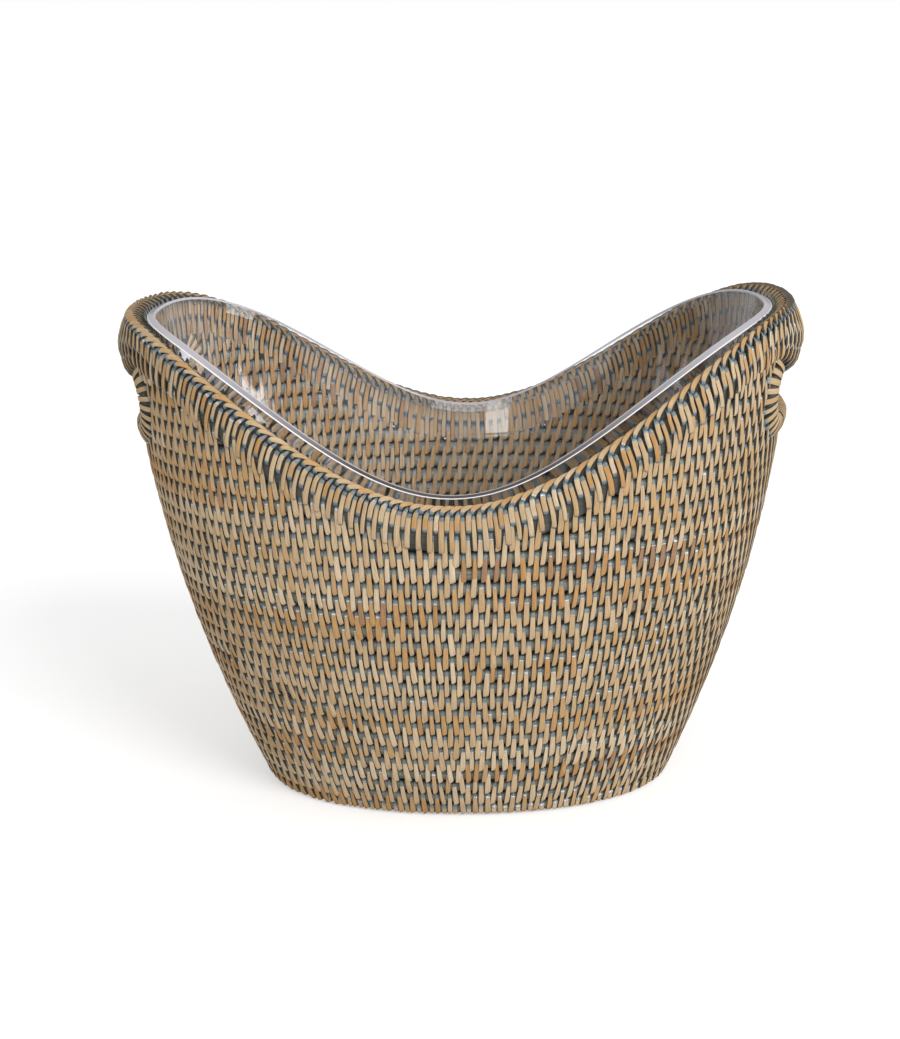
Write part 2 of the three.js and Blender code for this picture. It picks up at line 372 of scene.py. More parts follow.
def makePeel(name, paintedGlintStrength, toneShift=0.0, brightness=1.0):
    look = peelLook
    material, tree, shader = newMaterial(name)
    along, side, strip, tint, paint = [
        attribute(tree, word) for word in ("along", "side", "stripId", "tint", "paint")]
    across = maths(tree, "MULTIPLY", side, look["grainAcross"])
    place = addNode(tree, "ShaderNodeCombineXYZ", {
        "X": maths(tree, "MULTIPLY_ADD", strip, look["grainSteps"][0], across),
        "Y": maths(tree, "MULTIPLY", along, look["grainAlong"]),
        "Z": maths(tree, "MULTIPLY", strip, look["grainSteps"][1])})
    fibre, speck, blotch = grainOver(tree, place.outputs[0], look["fibreScale"], look["speckAmount"])

    # Bare peel: each strip has its tone, with fibres and specks
    wobble = maths(tree, "MULTIPLY_ADD", blotch, look["blotchTone"], toneShift - look["blotchTone"] / 2)
    ramp = addNode(tree, "ShaderNodeValToRGB", {"Fac": maths(tree, "ADD", tint, wobble)})
    stops = ramp.color_ramp.elements
    for i, (position, colour) in enumerate(look["tones"]):
        stop = stops[i] if i < len(stops) else stops.new(position)
        stop.position = position
        stop.color = (*scaled(colour, brightness), 1)
    shade = remap(tree, fibre, *look["fibreRange"], *look["brightFibres"])
    lined = addNode(
        tree, "ShaderNodeVectorMath", {0: ramp.outputs["Color"], "Scale": shade}, operation="SCALE")
    specks = maths(tree, "MULTIPLY", speck, look["speckShare"])
    bare = colourMix(tree, specks, lined.outputs[0], look["speck"])

    # Paint: worn along the fibres, on the upper part and the edges, paler in blotches, and with a painted
    # sheen: paler towards the bend where it ends, darker where it sinks into the wall
    fromMiddle = maths(tree, "ABSOLUTE", side)
    edge = remap(tree, fromMiddle, *look["paintedEdge"], 0, look["edgePaint"])
    worn = maths(tree, "MULTIPLY_ADD", fibre, look["paintWear"], -look["paintWear"] / 2)
    painted = maths(tree, "ADD", maths(tree, "MAXIMUM", paint, edge), worn)
    coat = remap(tree, painted, *look["paintRange"])
    paintSheen = remap(tree, paint, *look["paintSheenRange"], 0, look["paintSheenAmount"])
    blotchAndSheen = maths(tree, "MULTIPLY_ADD", blotch, look["blotchPale"], paintSheen)
    darkPaint, lightPaint = [scaled(look["paint"], factor) for factor in look["paintShades"]]
    coated = colourMix(tree, coat, bare, colourMix(tree, blotchAndSheen, darkPaint, lightPaint))

    # Painted glints: highlights painted into the colour, in patches of the wall, on the bends where the
    # paint ends
    patch = noise(tree, stretched(tree, objectPlace(tree), look["glintPatchScale"]), 1.0, 1.0)
    paintStarts = remap(tree, paint, *look["glintFrom"])
    bend = maths(tree, "MULTIPLY", paintStarts, remap(tree, paint, *look["glintTo"]))
    upper = maths(tree, "MULTIPLY", bend, maths(tree, "LESS_THAN", along, look["glintReach"]))
    broken = maths(tree, "MULTIPLY", upper, maths(tree, "GREATER_THAN", fibre, look["glintFibre"]))
    paintedGlint = maths(tree, "MULTIPLY", broken, remap(tree, patch, *look["glintPatch"], 0, paintedGlintStrength))
    withPaintedGlint = colourMix(tree, paintedGlint, coated, look["paintedGlint"])

    # Painted shade: darker on the flanks, and where a strip goes into the wall
    sunkShadeMask = remap(tree, paint, *look["sunkRange"])
    flankShadeMask = remap(tree, fromMiddle, *look["flankRange"], 0, look["flankShade"])
    rough = remap(tree, fibre, 0, 1, *look["roughness"])
    gloss = addNode(
        tree, "ShaderNodeMix", {0: coat, 2: rough, 3: look["paintRoughness"]}, data_type="FLOAT")
    setInputs(tree, shader, {
        "Base Color": colourMix(tree, maths(tree, "MAXIMUM", sunkShadeMask, flankShadeMask), withPaintedGlint, look["paintedShade"]),
        "Roughness": gloss.outputs[0],
        "Specular IOR Level": look["specular"],
        "Normal": bumped(tree, fibre, look["bump"], look["bumpDepth"]),
    })
    return material


caneLook = {
    "light": (0.27, 0.265, 0.205),
    "dark": (0.070, 0.074, 0.062),
    "stain": (0.30, 0.165, 0.075),
    "darkStain": 0.3,
    "stainScale": 34.0,
    "stainPatch": (0.56, 0.70),
    "stainShare": 0.6,
    "paint": (0.125, 0.140, 0.136),
    "paintScale": 60.0,
    "paintPatch": (0.45, 0.65),
    "paintShare": 0.5,
    # painted shade in the seams between the courses
    "paintedShade": (0.018, 0.019, 0.016),
    "stretch": (70, 70, 2600),
    "fibreRange": (0.3, 0.7),
    "speckAmount": 0.22,
    "roughness": (0.65, 0.95),
    "bump": 0.5,
    "bumpDepth": 0.0003,
}


def makeCane(name, brightness):
    look = caneLook
    material, tree, shader = newMaterial(name)
    place = objectPlace(tree)
    fibre = grainOver(tree, stretched(tree, place, look["stretch"]), 1.0, look["speckAmount"])[0]
    light, dark, stain, paint = [
        scaled(look[word], brightness) for word in ("light", "dark", "stain", "paint")]
    share = remap(tree, fibre, *look["fibreRange"])
    grey = colourMix(tree, share, dark, light)
    brown = colourMix(tree, share, scaled(stain, look["darkStain"]), stain)
    stains = noise(tree, place, look["stainScale"], 3.0)
    tone = colourMix(tree, remap(tree, stains, *look["stainPatch"], 0, look["stainShare"]), grey, brown)
    patches = noise(tree, place, look["paintScale"], 2.0)
    coated = colourMix(tree, remap(tree, patches, *look["paintPatch"], 0, look["paintShare"]), tone, paint)
    setInputs(tree, shader, {
        # painted shade: the cane is darkened towards its seams
        "Base Color": colourMix(tree, attribute(tree, "seamShade"), coated, look["paintedShade"]),
        "Roughness": remap(tree, fibre, 0, 1, *look["roughness"]),
        "Normal": bumped(tree, fibre, look["bump"], look["bumpDepth"]),
    })
    return material


acrylicLook = {
    "tint": (0.92, 0.935, 0.97),
    "shadow": (0.93, 0.93, 0.94),
    "refraction": 1.49,
    "haze": (0.0, 0.05),
    "hazeScale": 9.0,
    "edgeHaze": (0.05, 0.3),
    "edgeHazeScale": 40.0,
    "endsFrom": 0.05,
    "endsFull": 0.15,
}


def hazyAcrylic(name, clearness, colour, hazeScale, haze):
    material, tree, shader = newMaterial(name)
    clouds = noise(tree, objectPlace(tree), hazeScale, 2.0)
    setInputs(tree, shader, {
        "Base Color": (*colour, 1),
        "Transmission Weight": clearness,
        "IOR": acrylicLook["refraction"],
        "Roughness": remap(tree, clouds, 0, 1, *haze),
    })
    return material, tree, shader


def makeAcrylic():
    look = acrylicLook
    material, tree, shader = hazyAcrylic("clearAcrylic", 1.0, look["tint"], look["hazeScale"], look["haze"])
    path = addNode(tree, "ShaderNodeLightPath")
    clear = addNode(tree, "ShaderNodeBsdfTransparent", {"Color": (*look["shadow"], 1)})
    both = addNode(tree, "ShaderNodeMixShader", {
        0: path.outputs["Is Shadow Ray"], 1: shader.outputs["BSDF"], 2: clear.outputs["BSDF"]})
    setInputs(tree, tree.nodes["Material Output"], {"Surface": both.outputs[0]})
    return material


def makeAcrylicEdge(name, clearness, colour, endPaintedLight=None):  # its colour is painted light: the highlights, reflections and refraction that a clear edge shows, and it may change towards the ends
    look = acrylicLook
    material, tree, shader = hazyAcrylic(name, clearness, colour, look["edgeHazeScale"], look["edgeHaze"])
    if endPaintedLight:
        place = addNode(tree, "ShaderNodeSeparateXYZ", {0: objectPlace(tree)})
        fromMiddle = maths(tree, "ABSOLUTE", place.outputs["X"])
        toEnd = remap(tree, fromMiddle, look["endsFrom"], look["endsFull"])
        setInputs(tree, shader, {"Base Color": colourMix(tree, toEnd, colour, endPaintedLight)})
    return material


peel = makePeel("sandedPeel", 0.85)
# a browner copy of the peel, darkened to 0.75 as painted shade, for the inner face, the base and strips that
# lie under others
shadedInnerPeel = makePeel("shadedInnerPeel", 0.0, -0.14, 0.75)
# the cane at three brightnesses: dimCane and shadedCane are darker copies with painted shade, for cores that
# lie in the shade of strips
cane = makeCane("weatheredCane", 1.1)
dimCane = makeCane("dimCane", 0.5)
shadedCane = makeCane("shadedCane", 0.22)
acrylic = makeAcrylic()
# edges of the liner's rim carry painted light: a white highlight on the outer edge, a lilac reflection on
# the inner edge, and dark refraction in the rim's middle that turns pale towards the ends
acrylicOuterEdgePaintedHighlight = makeAcrylicEdge("acrylicOuterEdgePaintedHighlight", 0.1, (0.97, 0.96, 0.98))
acrylicInnerEdgePaintedReflection = makeAcrylicEdge("acrylicInnerEdgePaintedReflection", 0.3, (0.60, 0.56, 0.61), (0.70, 0.68, 0.74))
acrylicRimPaintedRefraction = makeAcrylicEdge("acrylicRimPaintedRefraction", 0.3, (0.10, 0.08, 0.07), (0.68, 0.66, 0.70))
print("materials made")


# Meshes

coreShare = 0.25  # part of the map that a piece's core takes, below its strips
sharpAngle = math.radians(50)


def addObject(name, data):
    obj = bpy.data.objects.new(name, data)
    bpy.context.scene.collection.objects.link(obj)
    return obj


def smooth(mesh):
    mesh.shade_smooth()
    mesh.set_sharp_from_angle(angle=sharpAngle)


def setAttribute(mesh, name, dataType, numbers):
    layer = mesh.attributes.new(name, dataType, "POINT")
    key = "vector" if dataType == "FLOAT_VECTOR" else "value"
    layer.data.foreach_set(key, numbers.astype(np.int32 if dataType == "INT" else np.float32).ravel())


def loft(rings, closed, patchRings, seamShade=None):
    # rings of corners joined one after the other, with a map cell every few rings
    count, width = rings.shape[:2]
    here = np.arange(count if closed else count - 1)
    there = (here + 1) % count
    corner = np.arange(width)
    after = (corner + 1) % width
    quads = np.stack(np.broadcast_arrays(
        here[:, None] * width + corner,
        there[:, None] * width + corner,
        there[:, None] * width + after,
        here[:, None] * width + after,
    ), -1).reshape(-1, 4)
    faces = quads.tolist()
    if not closed:
        faces.append(list(range(width)))
        faces.append([(count - 1) * width + i for i in reversed(range(width))])
    mesh = bpy.data.meshes.new("loft")
    mesh.from_pydata(rings.reshape(-1, 3).tolist(), [], faces)
    cell = np.repeat(here // patchRings, width * 4)
    step = np.repeat(here % patchRings, width * 4) + np.tile([0, 1, 1, 0], len(quads))
    turn = np.tile(np.repeat(corner, 4), len(here)) + np.tile([0, 0, 1, 1], len(quads))
    spare = len(mesh.loops) - len(cell)
    local = np.stack([step / patchRings, turn / width], -1)
    cell = np.append(cell, np.zeros(spare, int))
    local = np.append(local, np.zeros((spare, 2)), 0)
    mapCells(mesh, cell, local, (0, coreShare))
    # painted shade, darker towards the seams, where it is given
    if seamShade is not None:
        setAttribute(mesh, "seamShade", "FLOAT", np.tile(seamShade, count))
    smooth(mesh)
    return mesh


def mapCells(mesh, cell, local, band):  # puts each patch in its own cell of a band of the map
    count = int(cell.max()) + 1
    height = band[1] - band[0]
    columnsToRows = 1.5
    columns = max(1, math.ceil(math.sqrt(count / height * columnsToRows)))
    rows = math.ceil(count / columns)
    inset = 0.06
    local = inset + local * (1 - 2 * inset)
    u = (cell % columns + local[:, 0]) / columns
    v = band[0] + (cell // columns + local[:, 1]) / rows * height
    layer = mesh.uv_layers.new(name="OFBake")
    layer.data.foreach_set("uv", np.stack([u, v], -1).astype(np.float32).ravel())


def named(tree, name, dataType="FLOAT"):
    return addNode(tree, "GeometryNodeInputNamedAttribute", {"Name": name}, data_type=dataType).outputs[0]


def stored(tree, geometry, name, value):
    given = {"Geometry": geometry, "Name": name, "Value": value}
    return addNode(tree, "GeometryNodeStoreNamedAttribute", given, data_type="FLOAT").outputs[0]


def anyValue(tree, low, high, number, seed):
    given = {2: low, 3: high, "ID": number, "Seed": seed}
    return addNode(tree, "FunctionNodeRandomValue", given, data_type="FLOAT").outputs[1]


def makeLashTree():
    tree, given, result = newGroup(
        "peelStrips",
        "GeometryNodeTree",
        [("Paths", "NodeSocketGeometry", None), ("Strip width", "NodeSocketFloat", 0.003),
         ("Strip thickness", "NodeSocketFloat", 0.001), ("Crown", "NodeSocketFloat", 0.0003),
         ("Width spread", "NodeSocketFloat", 0.1), ("Tone spread", "NodeSocketFloat", 0.3),
         ("Seed", "NodeSocketInt", 1), ("Material", "NodeSocketMaterial", None)],
        [("Strips", "NodeSocketGeometry")],
    )
    paths, stripWidth, thickness, crown, widthSpread, toneSpread, seed, material = given.outputs[:8]
    strip = named(tree, "stripId", "INT")
    curves = addNode(tree, "GeometryNodeMeshToCurve", {0: paths})
    turned = addNode(tree, "GeometryNodeSetCurveNormal", {
        0: curves.outputs[0], "Normal": named(tree, "outward", "FLOAT_VECTOR")}, mode="FREE")

    # Six-sided section: a low ridge on top, upright sides, and a keel in the cane below
    sides = 6
    section = addNode(
        tree, "GeometryNodeCurvePrimitiveCircle", {"Resolution": sides, "Radius": 1.0}, mode="RADIUS")
    position = addNode(tree, "GeometryNodeInputPosition")
    corner = addNode(tree, "ShaderNodeSeparateXYZ", {0: position.outputs[0]})
    upward = corner.outputs["X"]
    side = maths(tree, "DIVIDE", corner.outputs["Y"], math.cos(math.pi / sides))
    around = maths(tree, "DIVIDE", addNode(tree, "GeometryNodeInputIndex").outputs[0], sides)
    mapped = stored(tree, stored(tree, section.outputs[0], "side", side), "around", around)
    keel = maths(tree, "MULTIPLY", maths(tree, "MINIMUM", upward, 0.0), thickness)
    height = maths(tree, "MULTIPLY_ADD", maths(tree, "MAXIMUM", upward, 0.0), crown, keel)
    across = maths(tree, "MULTIPLY", side, maths(tree, "MULTIPLY", stripWidth, 0.5))
    place = addNode(tree, "ShaderNodeCombineXYZ", {"X": height, "Y": across})
    shaped = addNode(tree, "GeometryNodeSetPosition", {"Geometry": mapped, "Position": place.outputs[0]})

    # Each strip has its own width and tone
    narrow = maths(tree, "SUBTRACT", 1.0, widthSpread)
    broad = maths(tree, "ADD", 1.0, widthSpread)
    size = maths(tree, "MULTIPLY", anyValue(tree, narrow, broad, strip, seed), named(tree, "girth"))
    swept = addNode(tree, "GeometryNodeCurveToMesh", {
        "Curve": turned.outputs[0], "Profile Curve": shaped.outputs[0], "Scale": size, "Fill Caps": True})
    tone = anyValue(tree, -0.5, 0.5, strip, maths(tree, "ADD", seed, 1.0))
    tint = maths(tree, "MULTIPLY_ADD", tone, toneSpread, named(tree, "run"))
    real = addNode(tree, "GeometryNodeRealizeInstances", {0: stored(tree, swept.outputs[0], "tint", tint)})
    dressed = addNode(tree, "GeometryNodeSetMaterial", {0: real.outputs[0], "Material": material})
    setInputs(tree, result, {"Strips": dressed.outputs[0]})
    return tree


lashTree = makeLashTree()
lashInputs = {
    item.name: item.identifier for item in lashTree.interface.items_tree if item.in_out == "INPUT"}
nextStrip = 0
stripSizes = {  # what a set of strips has where it says nothing else
    "thickness": 0.0011,
    "crown": 0.0003,
    "spread": 0.16,
    "toneSpread": 0.3,
    "seed": 1,
    "roll": 0,
    "run": 0.5,
    "girth": 1.0,
}


def makeStrips(sets):
    # a set is one kind of strip: points and outward of shape (strips, steps, 3), paint (from 1.2 up also
    # painted shade), width and material
    global nextStrip
    made = []
    for given in sets:
        kind = {**stripSizes, **given}
        points = kind["points"]
        strips, steps = points.shape[:2]
        if strips == 0:
            continue
        ways = unit(np.gradient(points, axis=1))
        outward = unit(kind["outward"] - ways * np.sum(kind["outward"] * ways, -1, keepdims=True))
        roll = np.radians(np.broadcast_to(kind["roll"], (strips, steps)))[..., None]
        outward = outward * np.cos(roll) - np.cross(ways, outward) * np.sin(roll)
        mesh = bpy.data.meshes.new("paths")
        first = np.arange(strips)[:, None] * steps + np.arange(steps - 1)
        edges = np.stack([first, first + 1], -1).reshape(-1, 2)
        mesh.from_pydata(points.reshape(-1, 3).tolist(), edges.tolist(), [])
        setAttribute(mesh, "along", "FLOAT", np.tile(np.linspace(0, 1, steps), strips))
        setAttribute(mesh, "paint", "FLOAT", np.broadcast_to(kind["paint"], (strips, steps)))
        setAttribute(mesh, "stripId", "INT", np.repeat(np.arange(strips) + nextStrip, steps))
        setAttribute(mesh, "run", "FLOAT", np.repeat(np.broadcast_to(kind["run"], strips), steps))
        setAttribute(mesh, "girth", "FLOAT", np.broadcast_to(kind["girth"], (strips, steps)))
        setAttribute(mesh, "outward", "FLOAT_VECTOR", outward)
        holder = addObject("paths", mesh)
        modifier = holder.modifiers.new("strips", "NODES")
        modifier.node_group = lashTree
        settings = {
            "Strip width": kind["width"],
            "Strip thickness": kind["thickness"],
            "Crown": kind["crown"],
            "Width spread": kind["spread"],
            "Tone spread": kind["toneSpread"],
            "Seed": kind["seed"],
            "Material": kind["material"],
        }
        for name, value in settings.items():
            modifier[lashInputs[name]] = value
        bpy.context.view_layer.update()
        result = bpy.data.meshes.new_from_object(
            holder.evaluated_get(bpy.context.evaluated_depsgraph_get()))
        holder.modifiers.remove(modifier)
        bpy.data.objects.remove(holder)
        nextStrip += strips
        made.append(result)
    return made


def mapStrips(mesh, band):  # each strip unrolled in its own cell
    loops = len(mesh.loops)
    corner = np.zeros(loops, np.int32)
    mesh.loops.foreach_get("vertex_index", corner)
    numbers = {}
    for name, dataType in (("around", np.float32), ("along", np.float32), ("stripId", np.int32)):
        numbers[name] = np.zeros(len(mesh.vertices), dataType)
        mesh.attributes[name].data.foreach_get("value", numbers[name])
    around = numbers["around"][corner]
    starts = np.zeros(len(mesh.polygons), np.int32)
    mesh.polygons.foreach_get("loop_start", starts)
    least = np.minimum.reduceat(around, starts)
    most = np.maximum.reduceat(around, starts)
    face = np.searchsorted(starts, np.arange(loops), "right") - 1
    wraps = (most - least)[face] > 0.5
    around = np.where(wraps & (around < 0.5), around + 1, around)
    local = np.stack([np.clip(around, 0, 1), numbers["along"][corner]], -1)
    strip = numbers["stripId"][corner]
    mapCells(mesh, np.unique(strip, return_inverse=True)[1], local, band)


def makePiece(name, cores, sets, node, body="basket"):
    objects = []
    for mesh, material in cores:
        mesh.materials.append(material)
        objects.append(addObject(name, mesh))
    strips = makeStrips(sets)
    for i, mesh in enumerate(strips):
        smooth(mesh)
        step = (1 - coreShare) / len(strips)
        mapStrips(mesh, (coreShare + i * step, coreShare + (i + 1) * step))
        objects.append(addObject(name, mesh))
    piece = objects[0]
    if len(objects) > 1:
        chosen = {"selected_objects": objects, "selected_editable_objects": objects}
        with bpy.context.temp_override(active_object=piece, object=piece, **chosen):
            bpy.ops.object.join()
    piece.name = name
    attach(piece, body)
    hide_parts(node)


# Stitches that lash each course of cane to the one below

lashing = {
    "pitch": 0.0070,
    "width": 0.00272,
    "thickness": 0.0012,
    "crown": 0.0005,
    "sink": 0.0008,
    "lowest": 0.0019,
    "underBorder": 0.36,
    "underShort": 0.60,
    "stretch": 1.5,
    "mostLift": 0.0012,
    "holeClearance": 0.0032,
    "gripSwell": 0.2,
    "gripOverlap": 0.0015,
    "settle": 5,
    "jitter": 0.00035,
    "slant": 0.0008,
    "uneven": 0.00016,
    "paintSpread": 0.15,
    "runLength": (6, 34),
    "runTones": [0.10, 0.24, 0.45, 0.58, 0.72, 0.90],
    "runShares": [0.05, 0.17, 0.25, 0.25, 0.18, 0.10],
    "seed": 11,
    # share of a course above the middle seam, height over the cane's crown in millimetres, paint (from 1.2
    # up also painted shade where the stitch goes into the wall), girth
    "profile": [
        (1.00, -4.2, 2.0, 0.78), (0.92, -2.0, 1.8, 0.80), (0.82, -0.5, 1.15, 0.82),
        (0.62, 0.20, 0.75, 0.86), (0.48, 0.42, 0.05, 0.91), (0.25, 0.65, 0.0, 0.97),
        (-0.15, 0.88, 0.0, 1.04), (-0.50, 0.95, 0.0, 1.09), (-0.80, 0.80, 0.0, 1.09),
        (-0.91, 0.42, 0.1, 1.08), (-0.96, -0.6, 0.7, 1.06), (-0.985, -3.2, 2.0, 0.95),
    ],
    # roll in degrees that turns a stitch's right edge under at its lower end, for each share of a course
    "rollShares": [-1, -0.96, -0.91, -0.8, -0.5, 0],
    "roll": [30, 30, 24, 12, 5, 0],
    "rollSpread": (0.5, 1.3),
    "footProfile": [
        (1.00, -4.0, 1.0, 0.95), (0.93, -1.6, 1.0, 0.98), (0.80, -0.30, 0.8, 1.0),
        (0.50, 0.35, 0.3, 1.0), (0.25, 0.70, 0.0, 1.0), (0.10, 0.60, 0.0, 1.0),
        (0.06, 0.10, 0.0, 1.0), (0.06, -2.0, 0.3, 1.0),
    ],
}
innerLashing = {
    "width": 0.0028,
    "thickness": 0.0009,
    "crown": 0.0004,
    "sink": 0.0002,
    "lean": -0.0014,
    "relief": 0.55,
    "levels": (-0.0016, 0.0007),
}
chance = np.random.default_rng(lashing["seed"])


def jitter(count, most):  # for each strip, up to the most either way
    return chance.uniform(-1, 1, (count, 1)) * most


def patchy(paint, spread, count):
    return paint + chance.uniform(-spread, spread, (count, 1))


def arcLengths(points):
    steps = np.linalg.norm(np.diff(points, axis=0), axis=1)
    return np.append(0, np.cumsum(steps))


def settleEvenly(places, total, rounds):
    for _ in range(rounds):
        ahead = np.append(places[1:], places[0] + total)
        behind = np.append(places[-1] - total, places[:-1])
        places = mix(places, (ahead + behind) / 2, 0.5)
    return places


def stitchRows():  # each row lies in the gaps of the row below, with a few more as the wall widens
    rows = []
    for height in seams[:-1]:
        arc = arcLengths(wallPoint(denseAngles, height, 0))
        total = arc[-1]
        count = round(total / lashing["pitch"])
        if not rows:
            places = (np.arange(count) + 0.5) * total / count
        else:
            below = np.interp(rows[-1], denseAngles, arc)
            places = below + np.diff(np.append(below, below[0] + total)) / 2
            extra = max(0, count - len(places))
            gaps = np.diff(np.append(places, places[0] + total))
            wobble = chance.uniform(0, 0.5 * lashing["pitch"], len(gaps))
            wide = np.argsort(gaps + wobble)[len(gaps) - extra:]
            places = np.sort(np.append(places, places[wide] + gaps[wide] / 2) % total)
            places = settleEvenly(places, total, lashing["settle"])
        rows.append(np.interp(np.sort(places % total), arc, denseAngles))
    return rows


def runTones(count):  # stitches made with one length of peel share its tone
    tones = []
    while len(tones) < count:
        tone = chance.choice(lashing["runTones"], p=lashing["runShares"])
        tones += [tone] * int(chance.integers(*lashing["runLength"]))
    return np.array(tones[:count])


rows = stitchRows()
rowTones = [runTones(len(row)) for row in rows]
print("stitches in each row:", [len(row) for row in rows])


def borderLift(angle, height):  # how far the border's foot lifts a stitch that runs up under it
    foot = borderBottom(angle)
    share = (height - foot) / (braidFoot(angle) - foot)
    lift = np.clip(borderFace(angle, share) + lashing["sink"], 0, lashing["mostLift"])
    return np.where(share > 0, lift, 0)


def lashSet(row, inside, shown=None):
    shown = slice(None) if shown is None else shown
    angles, tones = rows[row][shown], rowTones[row][shown]
    profile = np.array(lashing["footProfile"] if row == 0 else lashing["profile"])
    rise, level, paint, girth = profile.T
    level = level * millimetre
    middle, high = seams[row], seams[row + 1]
    low = seams[max(0, row - 1)]
    count = len(angles)
    top = np.full((count, 1), high)
    if not inside:
        underShort = borderHeight(angles, lashing["underShort"])
        reach = np.clip(underShort, high, mix(middle, high, lashing["stretch"]))
        top = np.where(borderBottom(angles) < high, reach, high)[:, None]
    heights = np.where(rise >= 0, mix(middle, top, rise), mix(middle, low, -rise))
    heights = np.maximum(heights, lashing["lowest"])
    offset = jitter(count, lashing["jitter"])
    slant = jitter(count, lashing["slant"]) + (innerLashing["lean"] if inside else 0)
    places = shifted(angles[:, None], middle, offset + slant * rise)
    outward = wallNormal(places, heights)
    if inside:
        level = np.clip(level * innerLashing["relief"], *innerLashing["levels"])
        points = wallPoint(places, heights, wall["thickness"] - innerLashing["sink"] + level)
    else:
        uneven = jitter(count, lashing["uneven"])
        lift = borderLift(places, heights) - lashing["sink"]
        points = wallPoint(places, heights, -level - uneven - lift)
    paintLevel = patchy(paint, lashing["paintSpread"], count)
    roll = np.interp(rise, lashing["rollShares"], lashing["roll"])
    sizes = innerLashing if inside else lashing
    return {
        "points": points,
        "outward": -outward if inside else outward,
        "roll": roll * chance.uniform(*lashing["rollSpread"], (count, 1)),
        "paint": paintLevel,
        "girth": girth,
        "run": tones,
        "width": sizes["width"],
        "thickness": sizes["thickness"],
        "crown": sizes["crown"],
        "material": shadedInnerPeel if inside else peel,
        "seed": 5 if inside else 2,
    }


# The collar is the outline of the binding round a hand hole
collarRadius = (holeTop - holeSill) / 2 + hole["bindingWidth"]
collarMiddle = (holeTop + holeSill) / 2
collarStraight = hole["length"] / 2 + hole["bindingWidth"] - collarRadius


def showsOnWall(angles, height):  # clear of the collar, and not too far up under the border
    y = np.abs(wallPoint(angles, height, 0)[:, 1])
    fromCollar = np.hypot(np.maximum(0, y - collarStraight), height - collarMiddle) - collarRadius
    foot = borderBottom(angles)
    onBand = mix(foot, braidFoot(angles), lashing["underBorder"])
    limit = np.where(gripSwell(angles) > lashing["gripSwell"], foot + lashing["gripOverlap"], onBand)
    return (fromCollar > lashing["holeClearance"]) & (height < limit)


def bothFaces(course, shown=None):
    return [lashSet(course, inside, shown) for inside in (False, True)]


caneSection = {
    "belly": 0.0036,
    "innerBelly": 0.0024,
    "roundness": 3,
    "swell": [-1, -0.9, -0.75, -0.45, 0, 0.45, 0.75, 0.9, 1],
    # painted shade on the cane, from seam to seam
    "seamShade": [1, 0.85, 0.35, 0, 0, 0, 0.35, 0.85, 1],
    "innerFlat": 0.2,
    "gap": 0.00015,
    "thinnest": 0.0003,
    "lowest": 0.001,
    "turns": 240,
    "patchTurns": 12,
    "cornerTurns": 14,
    "cornerFewest": 4,
}


def courseRings(course, angles, limit=None):  # a cane with round outer and inner faces
    low, high = seams[course], seams[course + 1]
    swell = np.array(caneSection["swell"])
    heights = mix(low + caneSection["gap"], high - caneSection["gap"], (swell + 1) / 2)
    curve = np.abs(swell) ** caneSection["roundness"]
    outer = lashing["sink"] + caneSection["belly"] * curve
    inner = wall["thickness"] - caneSection["innerBelly"] * mix(caneSection["innerFlat"], 1, curve)
    levels = np.append(heights, heights[::-1])[None, :] + np.zeros((len(angles), 1))
    if limit is not None:
        levels = np.minimum(levels, np.maximum(limit[:, None], low + caneSection["thinnest"]))
    return wallPoint(angles[:, None], levels, np.append(outer, inner[::-1])[None, :])


bothSeamShades = caneSection["seamShade"] + caneSection["seamShade"][::-1]


def fullCourses():
    angles = fullTurn(caneSection["turns"])
    for course in range(wall["fullCourses"]):
        core = loft(courseRings(course, angles), True, caneSection["patchTurns"], bothSeamShades)
        number = f"course_{course + 1:02d}"
        makePiece(f"lashed_{number}", [(core, cane)], bothFaces(course), f"wall_{number}")


def underBorder(angles):  # top of a cane that the border cuts off
    return borderBottom(angles) - caneSection["gap"]


def endCourses():
    for side, middle in (("right", 0.0), ("left", math.pi)):
        for course in range(wall["fullCourses"], underHole):
            spread = np.linspace(-math.pi / 2, math.pi / 2, caneSection["turns"] // 2 + 1) + middle
            angles = spread[underBorder(spread) > seams[course] + caneSection["lowest"]]
            rings = courseRings(course, angles, underBorder(angles))
            core = loft(rings, False, caneSection["patchTurns"], bothSeamShades)
            turn = (rows[course] - middle + math.pi) % (2 * math.pi) - math.pi
            shown = (np.abs(turn) < math.pi / 2) & showsOnWall(rows[course], seams[course])
            sets = bothFaces(course, shown)
            number = f"{side}_{course + 1}"
            makePiece(f"lashed_end_{number}", [(core, cane)], sets, f"end_course_{number}")


def besideHole(course):  # angles of the quarter between the collar of a hand hole and the border
    height = (seams[course] + seams[course + 1]) / 2
    spread = np.linspace(0, math.pi / 2, 400)
    edge = collarStraight + math.sqrt(max(0, collarRadius ** 2 - (height - collarMiddle) ** 2))
    beside = wallPoint(spread, height, 0)[:, 1] > edge + caneSection["thinnest"]
    return spread[beside & (borderBottom(spread) > seams[course] + caneSection["lowest"])]


def cornerPanel(name, xSign, ySign):
    cores, sets = [], []
    for course in range(underHole, len(seams) - 1):
        quarter = besideHole(course)
        if len(quarter) >= caneSection["cornerFewest"]:
            steps = np.linspace(quarter[0], quarter[-1], caneSection["cornerTurns"])
            angles = steps if xSign > 0 else math.pi - steps
            angles = np.sort(angles if ySign > 0 else -angles)
            rings = courseRings(course, angles, underBorder(angles))
            cores.append((loft(rings, False, caneSection["cornerTurns"], bothSeamShades), cane))
        points = wallPoint(rows[course], seams[course], 0)
        here = (points[:, 0] * xSign > 0) & (points[:, 1] * ySign > 0)
        shown = here & showsOnWall(rows[course], seams[course])
        sets += bothFaces(course, shown)
    makePiece(f"lashed_corner_{name}", cores, sets, f"corner_panel_{name}")


